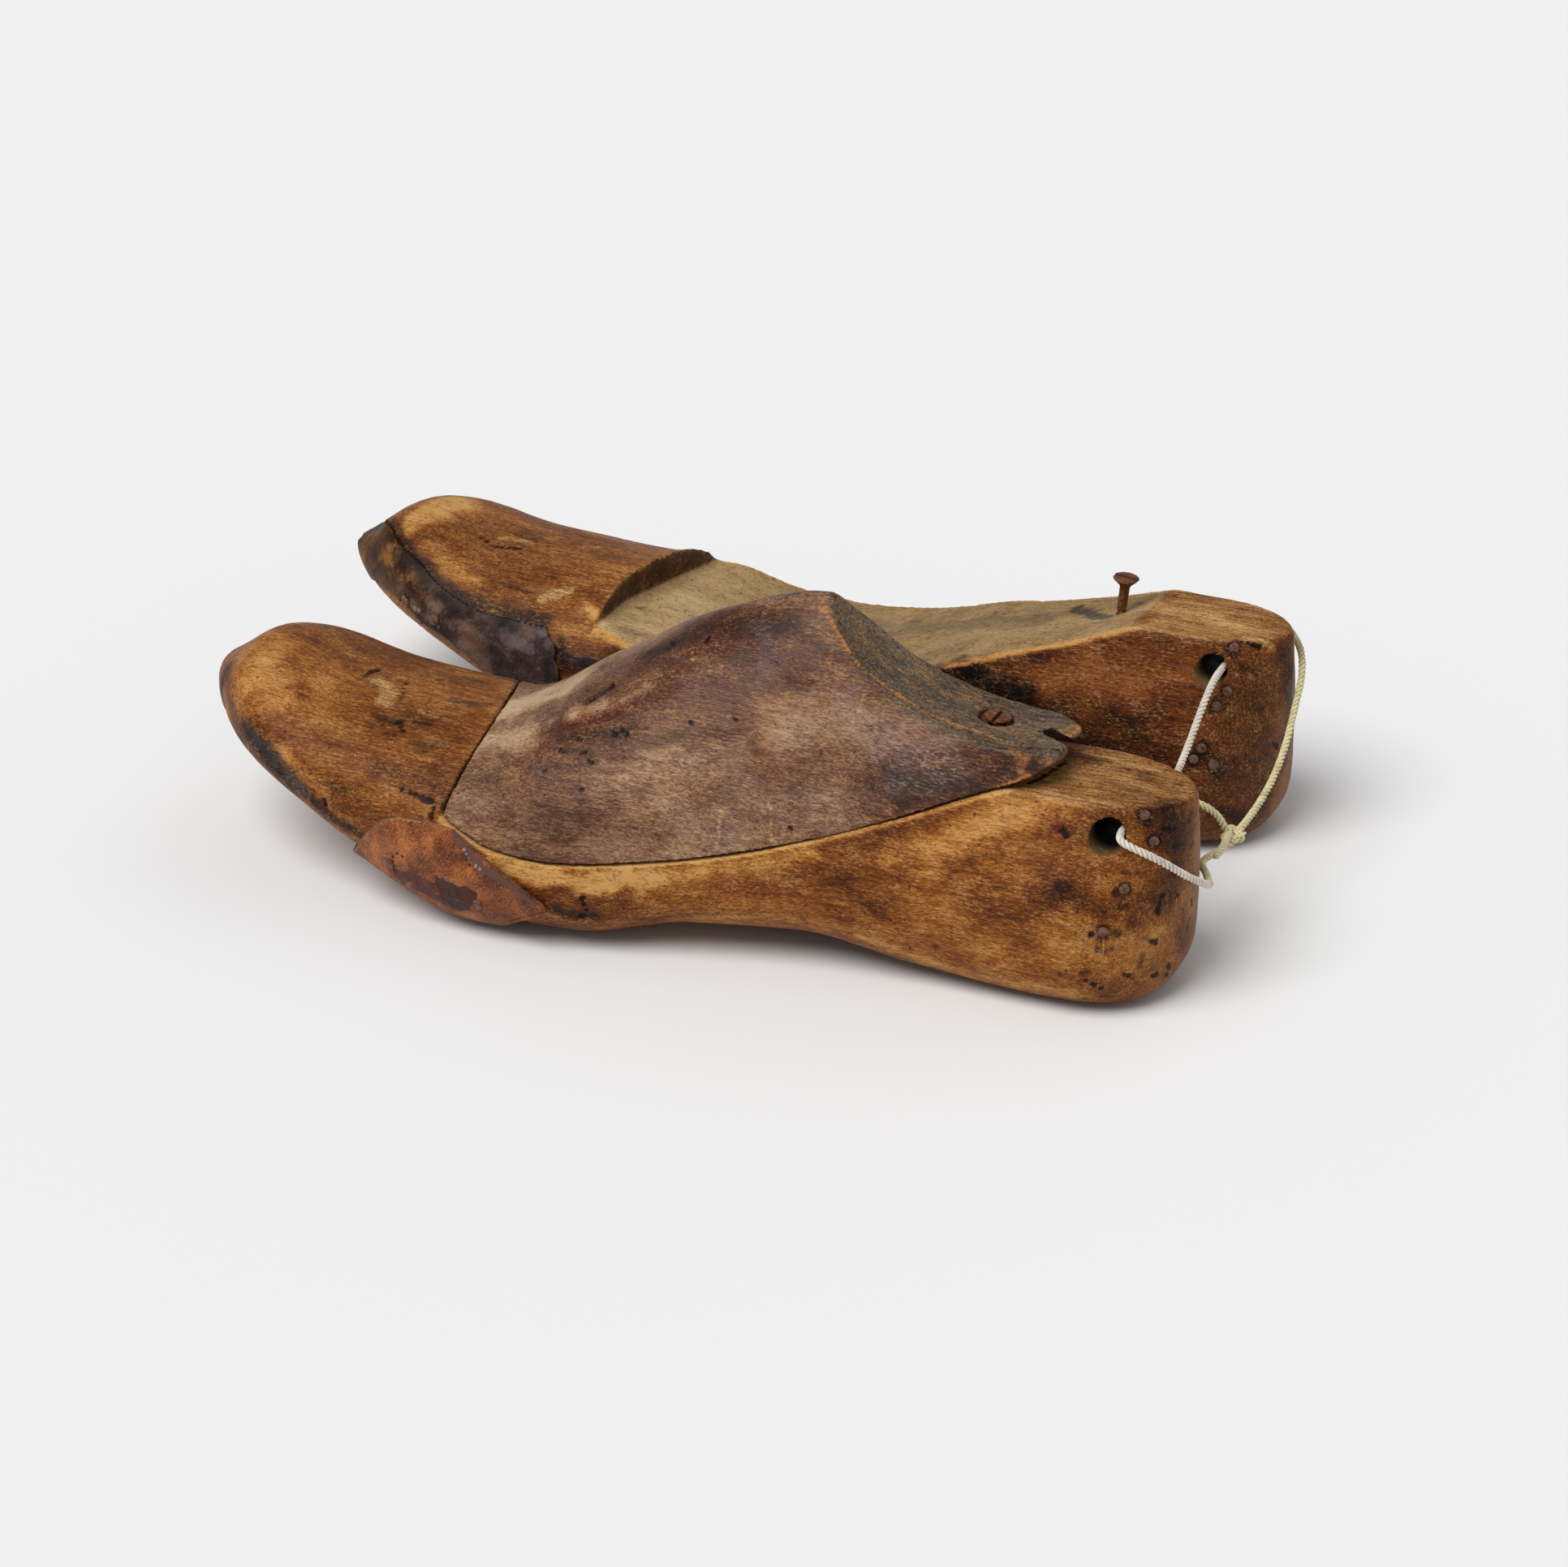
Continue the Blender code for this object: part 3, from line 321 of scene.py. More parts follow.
class Shader:
    """A node material that is built up call by call."""

    def __init__(self, name):
        self.material = bpy.data.materials.new(name)
        self.material.use_nodes = True
        self.tree = self.material.node_tree
        self.surface = self.tree.nodes["Principled BSDF"]
        self.place = self.node("TexCoord", {}, "Object")

    def plug(self, value, socket):
        """Feeds an input with another node's output or with a constant."""
        if isinstance(value, Value):
            self.tree.links.new(value.socket, socket)
        else:
            socket.default_value = value

    def node(self, kind, inputs, output=0, **settings):
        made = self.tree.nodes.new("ShaderNode" + kind)
        for key, value in settings.items():
            setattr(made, key, value)
        for key, value in inputs.items():
            self.plug(value, made.inputs[key])
        return Value(self, made.outputs[output])

    def stretched(self, scale, vector=None, turn=(0, 0, 0)):
        return self.node("Mapping", {"Vector": vector or self.place, "Scale": scale, "Rotation": turn})

    def noise(self, vector, scale=1.0, detail=3.0, roughness=0.5, distortion=0.0):
        return self.node("TexNoise", {"Vector": vector, "Scale": scale, "Detail": detail,
                                      "Roughness": roughness, "Distortion": distortion}, "Fac")

    def attribute(self, name):
        return self.node("Attribute", {}, "Fac", attribute_name=name)

    def dots(self, vector, scale, size, share):
        """Scattered spots with crisp rims: size is their radius in cells, share how many cells hold one."""
        cell = self.node("TexVoronoi", {"Vector": vector, "Scale": scale}, "Color")
        distance = Value(self, cell.socket.node.outputs["Distance"])
        chosen = self.node("SeparateColor", {"Color": cell}, "Red")
        return self.span(distance, 0.55 * size, size, 1.0, 0.0) * self.span(chosen, 1 - share, 1.02 - share)

    def warped(self, amount, scale):
        """The place, pushed about a little, so that what is drawn there isn't regular."""
        push = self.node("TexNoise", {"Vector": self.place, "Scale": scale, "Detail": 2.0}, "Color")
        push = self.node("VectorMath", {0: push, 1: (0.5, 0.5, 0.5)}, operation="SUBTRACT")
        push = self.node("VectorMath", {0: push, 3: amount}, operation="SCALE")
        return self.node("VectorMath", {0: self.place, 1: push}, operation="ADD")

    def ragged(self, label, noise, amount=0.9, soft=0.10):
        """A mask whose soft rim is broken up by noise into a crisp one."""
        return self.span(self.attribute(label) + (noise - 0.5) * amount, 0.42 - soft, 0.42 + soft)

    def hairlines(self, scale, width, most, turn=(0, 0, 0)):
        """Thin long lines, where a drawn-out noise crosses its middle."""
        wave = self.noise(self.stretched(scale, turn=turn), 1.0, 1.0)
        return self.span(self.math("ABSOLUTE", wave - 0.5), 0.0, width, most, 0.0)

    def math(self, operation, a, b=0.5, clamp=False):
        return self.node("Math", {0: a, 1: b}, operation=operation, use_clamp=clamp)

    def span(self, value, low, high, to_low=0.0, to_high=1.0):
        return self.node("MapRange", {"Value": value, "From Min": low, "From Max": high, "To Min": to_low,
                                      "To Max": to_high}, interpolation_type="SMOOTHSTEP")

    def ramp(self, value, steps, colours):
        """Colours as written on a screen, one at each step of a value."""
        made = self.node("ValToRGB", {"Fac": value}, "Color")
        elements = made.socket.node.color_ramp.elements
        while len(elements) < len(steps):
            elements.new(0.5)
        for element, step, colour in zip(elements, steps, colours):
            element.position = step
            element.color = (*linear(*colour), 1)
        return made

    def mix(self, a, b, factor, blend="MIX"):
        a, b = (v if isinstance(v, Value) else (*v, 1) for v in (a, b))
        return self.node("Mix", {0: factor, 6: a, 7: b}, 2, data_type="RGBA", blend_type=blend)

    def stained(self, body, shade, amount):
        """The body colour, multiplied by a shade where amount says so."""
        return self.mix(body, self.mix(body, shade, 1.0, "MULTIPLY"), amount)

    def bump(self, height, distance, strength=1.0):
        return self.node("Bump", {"Height": height, "Distance": distance, "Strength": strength})

    def finish(self, colour, roughness, normal, **constants):
        for name, value in (("Base Color", colour), ("Roughness", roughness), ("Normal", normal)):
            self.plug(value, self.surface.inputs[name])
        for name, value in constants.items():
            self.surface.inputs[name.replace("_", " ")].default_value = value
        return self.material


# Where on its length the cord turns white, and yellow again
BLEACHED_FROM = 0.118
BLEACHED_TO = 0.272


def cord_finish():
    """White where the cord has been in the light, yellow where it starts and ends at the knot."""
    s = Shader("pale_cord")
    lay, yarn, run = s.attribute("lay"), s.attribute("yarn"), s.attribute("run")
    fibre = s.math("SINE", yarn * 21000.0)
    fuzz = s.noise(s.place, 5200.0, 4.0, 0.7)
    patch = s.noise(s.place, 240.0, 3.0, 0.6)
    wander = run + (patch - 0.5) * 0.02
    white = (s.span(wander, BLEACHED_FROM - 0.004, BLEACHED_FROM + 0.004)
             * s.span(wander, BLEACHED_TO - 0.006, BLEACHED_TO + 0.006, 1.0, 0.0))
    pale = s.ramp(patch, (0.3, 0.7), [(226, 212, 194), (246, 236, 222)])
    yellow = s.ramp(patch, (0.3, 0.55, 0.75), [(216, 202, 148), (236, 224, 172), (242, 234, 156)])
    body = s.mix(yellow, pale, white)
    # Painted shade: darker brown in the clefts between the strands
    body = s.mix(body, linear(150, 124, 90), s.span(lay, 0.55, 1.0) * 0.8)
    # The stretch that rubs over the rear heel is dirtiest
    dirt = s.span(s.noise(s.place, 170.0, 4.0, 0.6), 0.52, 0.70, 0.0, 0.45)
    rubbed = s.span(run, 0.060, 0.072) * s.span(run, 0.092, 0.104, 1.0, 0.0)
    body = s.mix(body, linear(132, 110, 78), s.math("ADD", dirt, rubbed * 0.45, True))
    return s.finish(body, 0.66, s.bump(fibre * 0.35 + fuzz, 0.00012, 0.7), Sheen_Weight=0.2,
                    Specular_IOR_Level=0.3)


# The law of the lasts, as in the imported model: values along a last of length L, from its toe
TOE_ROUND = 0.036
HEEL_ROUND = 0.028
TOE_TIP_Y = 0.007
TOE_TIP_Z = 0.045
HEEL_TIP_Z = 0.038
TOE_RISE_POWER = 2.8
HEEL_BLUNTNESS = 5
L = 0.285
lateral_half = smooth([(0.0, 0.022), (0.030, 0.031), (0.060, 0.0385), (0.095, 0.0445), (0.120, 0.045),
                       (0.150, 0.039), (L - 0.095, 0.031), (L - 0.060, 0.0285), (L - 0.030, 0.029),
                       (L, 0.029)])
medial_half = smooth([(0.0, 0.0255), (0.030, 0.0334), (0.060, 0.0377), (0.090, 0.0405), (0.120, 0.0402),
                      (0.150, 0.034), (L - 0.095, 0.029), (L - 0.060, 0.0275), (L - 0.030, 0.027),
                      (L, 0.027)])
sole_height = smooth([(0.0, 0.0315), (0.025, 0.0255), (0.060, 0.011), (0.098, 0.0), (0.125, 0.0),
                      (0.155, 0.005), (L - 0.100, 0.0055), (L - 0.070, 0.0015), (L - 0.040, 0.0),
                      (L - 0.015, 0.0), (L, 0.001)])
top_height = smooth([(0.0, 0.0472), (0.016, 0.0560), (0.050, 0.0487), (0.085, 0.047), (0.120, 0.0665),
                     (0.150, 0.085), (0.183, 0.096), (L - 0.070, 0.097), (L - 0.035, 0.090), (L, 0.083)])
widest_above_sole = smooth([(0.0, 0.009), (0.030, 0.0125), (0.080, 0.016), (0.120, 0.020), (0.180, 0.024),
                            (L - 0.045, 0.027), (L, 0.027)])
ridge_offset = smooth([(0.0, 0.002), (0.060, 0.002), (0.120, 0.003), (0.183, 0.002), (L, 0.0)])
upper_fullness = smooth([(0.0, 2.3), (0.080, 2.2), (0.130, 1.8), (0.165, 1.55), (0.185, 1.4), (0.205, 1.18),
                         (L - 0.045, 1.12), (L, 1.2)])
lower_fullness = smooth([(0.0, 2.6), (0.060, 3.2), (0.120, 3.4), (0.180, 3.2), (L - 0.045, 4.0), (L, 3.6)])
FRONT_FLOOR = [(0.060, 0.040), (0.086, 0.0318), (0.095, 0.0285), (0.104, 0.0262), (0.115, 0.0256),
               (0.127, 0.0264), (0.148, 0.029), (0.169, 0.0331), (L - 0.095, 0.0392), (L - 0.075, 0.0460),
               (L - 0.055, 0.0545), (L - 0.044, 0.0589), (L - 0.0345, 0.0634)]
REAR_FLOOR = [(0.060, 0.0395), (0.086, 0.0382), (0.0957, 0.0369), (0.1026, 0.0358), (0.112, 0.0321),
              (0.125, 0.0293), (0.138, 0.0294), (0.148, 0.0307), (0.165, 0.0348), (L - 0.092, 0.0446),
              (L - 0.075, 0.0500), (L - 0.055, 0.0562), (L - 0.042, 0.0612), (L - 0.030, 0.0660)]
ribbon_height = smooth([(0.170, 0.1040), (0.183, 0.0960), (0.1868, 0.0905), (0.192, 0.0853), (0.204, 0.0762),
                        (L - 0.068, 0.0705), (L - 0.056, 0.0678), (L - 0.044, 0.0670), (L - 0.0345, 0.0669)])
WALL_FOOT_Z = 0.031
WALL_LEAN = math.radians(5)
SEAM_GAP = 0.0005
RIDGE_END = 0.183
TAIL_FROM_BACK = 0.0345
BORE_FROM_BACK = 0.0185
SCREW_TILT = math.radians(6)
GAP = 0.0003

# The tools that cut the wood: how far they reach, in how many steps they follow a curve, and the skin's grid
CUT_HALF_WIDTH = 0.06
SEAT_TOOL_TOP = 0.13
BLOCK_TOOL_TOP = 0.12
FLOOR_STEPS = 70
RIBBON_STEPS = 60
ACROSS_STEPS = 48
BAR_SIDES = 64
WOOD_VOXEL = 0.00080
BLOCK_VOXEL = 0.00054
LEATHER_VOXEL = 0.00042


class Last:
    """One last of the pair: how it lies, and what its maker cut unlike the other's."""

    def __init__(self, name, medial, heel, yaw, floor, floor_tilt, flat_z, bore_z, bore_radius, wall, bed):
        """medial is that side's way along Y, wall its place, skew, bow and knee, bed the leather's depth."""
        self.name = name
        self.medial = medial
        self.heel = np.array((*heel, 0.0)) + np.array(SHIFT)
        self.yaw = yaw
        self.floor = smooth(floor)
        self.floor_tilt = floor_tilt
        self.flat_z = flat_z
        self.bore_z = bore_z
        self.bore_radius = bore_radius
        self.wall_x, self.wall_skew, self.wall_bow, self.wall_knee = wall
        self.bed = smooth([(0.0, bed), (0.065, bed), (0.100, 0.0), (L, 0.0)])

    def wall(self, y):
        """How far from the toe the foot of the seat's wall stands."""
        return self.wall_x + self.wall_skew * np.minimum(y, self.wall_knee) + self.wall_bow * y * y

    def world(self, x, y, z):
        """Points in the shared frame, from the distance to the toe, the medial side's way and the height."""
        x, y, z = np.broadcast_arrays(np.asarray(x, float) - L, self.medial * np.asarray(y, float), z)
        c, s = math.cos(self.yaw), math.sin(self.yaw)
        return np.stack([c * x - s * y, s * x + c * y, z], axis=-1) + self.heel

    def own(self, points):
        """Distance to the toe, medial way and height of points in the shared frame."""
        p = points - self.heel
        c, s = math.cos(self.yaw), math.sin(self.yaw)
        return c * p[..., 0] + s * p[..., 1] + L, self.medial * (c * p[..., 1] - s * p[..., 0]), p[..., 2]


def section(x):
    """Heights of the sole, the widest place and the top, the share of the width, and the tip's place."""
    at_toe = np.minimum(1.0, x / TOE_ROUND)
    at_heel = np.minimum(1.0, (L - x) / HEEL_ROUND)
    width = np.sqrt(1 - (1 - at_toe) ** 2) * np.sqrt(1 - (1 - at_heel) ** 2)
    rise = np.sqrt(1 - (1 - at_toe) ** TOE_RISE_POWER)
    blunt = (1 - (1 - at_heel) ** HEEL_BLUNTNESS) ** (1 / HEEL_BLUNTNESS)
    low = sole_height(x)
    heights = []
    for z in (low, low + widest_above_sole(x), top_height(x)):
        z = TOE_TIP_Z + (z - TOE_TIP_Z) * rise
        heights.append(HEEL_TIP_Z + (z - HEEL_TIP_Z) * blunt)
    return heights, width, np.where(x < L / 2, TOE_TIP_Y, 0.0)


def surface(last, x, angle):
    """Points of the last's skin: angle 0 is the medial side, a quarter turn the top."""
    x, angle = np.broadcast_arrays(np.asarray(x, float), np.asarray(angle, float))
    (low, widest, top), width, tip_y = section(x)
    c, s = np.cos(angle), np.sin(angle)
    medial = medial_half(x) - last.bed(x)
    side = np.where(c >= 0, medial, -lateral_half(x))
    upper = s >= 0
    power = 2 / np.where(upper, upper_fullness(x), lower_fullness(x))
    middle = np.where(upper, ridge_offset(x), (medial - lateral_half(x)) / 2)
    y = middle + (side - middle) * np.abs(c) ** power
    z = widest + (np.where(upper, top, low) - widest) * np.abs(s) ** power
    return last.world(x, tip_y + (y - tip_y) * width, z)


def angle_at(x, z, medial_side):
    """The angle round the section at which the skin is at height z, on one side."""
    (low, widest, top), _, _ = section(x)
    up = np.arcsin(np.clip((z - widest) / (top - widest), 0, 1) ** (upper_fullness(x) / 2))
    down = -np.arcsin(np.clip((widest - z) / (widest - low), 0, 1) ** (lower_fullness(x) / 2))
    turn = np.where(z >= widest, up, down)
    return turn if medial_side else math.pi - turn


def outward(last, x, angle):
    """Unit normals of the skin, pointing out of the wood."""
    x = np.clip(x, 0.002, L - 0.002)
    along = surface(last, x + 0.0004, angle) - surface(last, x - 0.0004, angle)
    around = surface(last, x, angle + 0.01) - surface(last, x, angle - 0.01)
    normal = unit(np.cross(along, around))
    middle = last.world(x, np.zeros_like(x), section(x)[0][1])
    away = np.sum(normal * (surface(last, x, angle) - middle), axis=-1, keepdims=True)
    return np.where(away > 0, normal, -normal)


def blank(last, name):
    """The whole last before its block is sawn out."""
    ends, between, around = ((26, 230, 200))
    turn = math.pi / 2 / ends
    xs = np.concatenate([TOE_ROUND * (1 - np.cos(turn * np.arange(1, ends + 1))),
                         np.linspace(TOE_ROUND, L - HEEL_ROUND, between)[1:-1],
                         L - HEEL_ROUND * (1 - np.cos(turn * np.arange(ends, 0, -1)))])
    angles = np.linspace(0, 2 * math.pi, around, endpoint=False)
    rings = surface(last, xs[:, None], angles[None, :])
    tips = (surface(last, 0.0, 0.0), surface(last, L, 0.0))
    return mesh_object(name, *loft(rings, tips))


def seat_outline(last, y, gap, top, stop_x):
    """The seat's outline in one plane along the last: wall, floor, and up again at stop_x."""
    plan = float(last.wall(y))
    lean = math.tan(WALL_LEAN)
    foot_z = float(last.floor(plan)) + last.floor_tilt * y + gap
    start = plan + gap + lean * (foot_z - WALL_FOOT_Z)
    xs = start + (stop_x - start) * np.arange(1, FLOOR_STEPS + 1) / FLOOR_STEPS
    floor = list(zip(xs, last.floor(xs) + last.floor_tilt * y + gap))
    return [(plan + gap + lean * (top - WALL_FOOT_Z), top), (start, foot_z)] + floor + [(stop_x, top)]


def across(last, outline_at):
    """A tool over the last's whole width, from its outline at each step across."""
    rings = []
    for y in CUT_HALF_WIDTH * np.linspace(-1, 1, ACROSS_STEPS + 1):
        outline = np.array(outline_at(float(y)))
        rings.append(last.world(outline[:, 0], np.full(len(outline), y), outline[:, 1]))
    return loft(rings)


def seat_cutter(last):
    def outline(y):
        first, *floor, final = seat_outline(last, y, 0.0, SEAT_TOOL_TOP, L + 0.01)
        return [first] + [(x, min(z, last.flat_z)) for x, z in floor] + [final]
    return mesh_object(last.name + "_seat_cutter", *across(last, outline))


def block_cutter(last):
    tail = L - TAIL_FROM_BACK

    def outline(y):
        low = seat_outline(last, y, SEAM_GAP, BLOCK_TOOL_TOP, tail)[:-1]
        xs = tail + (RIDGE_END - 0.006 - tail) * np.arange(RIBBON_STEPS + 1) / RIBBON_STEPS
        return low + list(zip(xs, ribbon_height(xs)))
    return mesh_object(last.name + "_block_cutter", *across(last, outline))


def round_bar(name, start, end, radius):
    """A straight bar between two points."""
    start, end = np.asarray(start, float), np.asarray(end, float)
    along = unit(end - start)
    side = unit(np.cross(along, (0.3, 0.2, 1.0)))
    other = np.cross(along, side)
    angles = np.linspace(0, 2 * math.pi, BAR_SIDES, endpoint=False)
    ring = radius * (np.outer(np.cos(angles), side) + np.outer(np.sin(angles), other))
    return mesh_object(name, *loft([start + ring, end + ring]))


def carve(made, cutters, voxel=None):
    """Cuts a piece with its tools and, where voxel is given, makes its skin anew as an even grid."""
    for operation, cutter in cutters:
        step = made.modifiers.new(cutter.name, "BOOLEAN")
        step.operation = operation
        step.object = cutter
        step.solver = "MANIFOLD"
    if voxel:
        grid = made.modifiers.new("grid", "REMESH")
        grid.mode = "VOXEL"
        grid.voxel_size = voxel
    mesh = bpy.data.meshes.new_from_object(made.evaluated_get(bpy.context.evaluated_depsgraph_get()))
    made.modifiers.clear()
    old = made.data
    made.data = mesh
    bpy.data.meshes.remove(old)
    for _, cutter in cutters:
        bpy.data.objects.remove(cutter, do_unlink=True)


# How closely a line over the photograph is followed, in pixels, and how ragged its rim is
STROKE_STEP = 6
STROKE_RAGGED = 0.5


class Skin:
    """The points of a fine mesh, for smoothing, wearing and staining in code, and for painting light and
    shade on it.
    """

    def __init__(self, made):
        self.made = made
        self.mesh = made.data
        self.mesh.shade_smooth()
        self.mesh.materials.clear()
        count = len(self.mesh.vertices)
        self.points = np.empty(3 * count)
        self.mesh.vertices.foreach_get("co", self.points)
        self.points = self.points.reshape(-1, 3)
        edges = np.empty(2 * len(self.mesh.edges), int)
        self.mesh.edges.foreach_get("vertices", edges)
        self.a, self.b = edges.reshape(-1, 2).T
        self.degree = np.bincount(self.a, minlength=count) + np.bincount(self.b, minlength=count)
        self.masks = {}

    def relaxed(self, points, rounds):
        """Points moved half way to the middle of their neighbours, round after round."""
        count = len(points)
        for _ in range(rounds):
            sums = [np.bincount(self.a, axis[self.b], count) + np.bincount(self.b, axis[self.a], count)
                    for axis in points.T]
            points = points + 0.5 * (np.stack(sums, axis=1) / self.degree[:, None] - points)
        return points

    def store(self):
        self.mesh.vertices.foreach_set("co", self.points.ravel())
        self.mesh.update()

    def normals(self):
        self.store()
        found = np.empty(3 * len(self.points))
        self.mesh.vertex_normals.foreach_get("vector", found)
        return found.reshape(-1, 3)

    def settle(self, rounds, wide):
        """Takes the grid's steps out, rounds the edges, and notes where edges and hollows are."""
        near = self.relaxed(self.points, rounds)
        coarse = self.relaxed(near, wide)
        self.points = near
        bend = np.sum((coarse - near) * self.normals(), axis=1)
        self.masks["edge"] = ease(-bend, 0.00022, 0.00062)
        self.masks["hollow"] = ease(bend, 0.00014, 0.00050)

    def tree(self):
        faces = np.empty(4 * len(self.mesh.polygons), int)
        self.mesh.polygons.foreach_get("vertices", faces)
        return BVHTree.FromPolygons(self.points.tolist(), faces.reshape(-1, 4).tolist())

    def clear(self, *names):
        for name in names:
            self.masks.setdefault(name, np.zeros(len(self.points)))

    def mark(self, name, amount):
        self.masks[name] = np.maximum(self.masks.get(name, 0.0), amount)

    def stroke(self, line, width, seed, soft):
        """How much a line drawn over pixels of the photograph covers each point, 0 to 1."""
        found = []
        for (ax, ay), (bx, by) in zip(line, line[1:]):
            steps = max(1, int(math.hypot(bx - ax, by - ay) / STROKE_STEP))
            for k in range(steps + 1):
                t = k / steps
                hit = self.finder.ray_cast(EYE, sight(ax + (bx - ax) * t, ay + (by - ay) * t))
                if hit[0] is not None:
                    found.append(hit[0])
        cover = np.zeros(len(self.points))
        if not found:
            return cover
        found = np.array(found)
        low, high = found.min(axis=0) - 2 * width, found.max(axis=0) + 2 * width
        near = np.flatnonzero(np.all((self.points > low) & (self.points < high), axis=1))
        away = np.full(len(near), np.inf)
        for p in found:
            away = np.minimum(away, np.linalg.norm(self.points[near] - p, axis=1))
        away = away * (1 + STROKE_RAGGED * random_waves(self.points[near], max(0.8 * width, 0.0015), seed))
        cover[near] = 1 - ease(away, width * (1 - soft), width)
        return cover

    def finish(self):
        self.store()
        self.masks["tone"] = 0.5 + 0.5 * self.tone
        for name, values in self.masks.items():
            set_attribute(self.made, name, np.clip(values, 0, 1))


FRONT = Last("front", medial=1, heel=(0.150, -0.020), yaw=0.0, floor=FRONT_FLOOR, floor_tilt=0.0,
             flat_z=0.0573, bore_z=0.0500, bore_radius=0.0045, wall=(0.0863, -0.163, -3.7, 1.0), bed=0.0)
REAR = Last("rear", medial=-1, heel=(0.1472, 0.0762), yaw=math.radians(-1.15), floor=REAR_FLOOR,
            floor_tilt=0.04, flat_z=0.0615, bore_z=0.0535, bore_radius=0.0041,
            wall=(0.0873, -0.22, 0.0, 0.008), bed=0.0030)


def bore_bar(last):
    ends = [last.world(L - BORE_FROM_BACK, y, last.bore_z) for y in (-CUT_HALF_WIDTH, CUT_HALF_WIDTH)]
    return round_bar(last.name + "_bore_bar", *ends, last.bore_radius)


def pixels(table):
    """Places in the photograph, written as x,y pairs."""
    return [tuple(float(v) for v in pair.split(",")) for pair in table.split()]


def marks(table):
    """Rows of a mark's kind, half width in mm, strength, push in mm, and line over the photograph."""
    rows = []
    for row in table.strip().splitlines():
        kind, width, strength, push, line = row.split(maxsplit=4)
        rows.append((kind, pixels(line), float(width), float(strength), float(push)))
    return rows
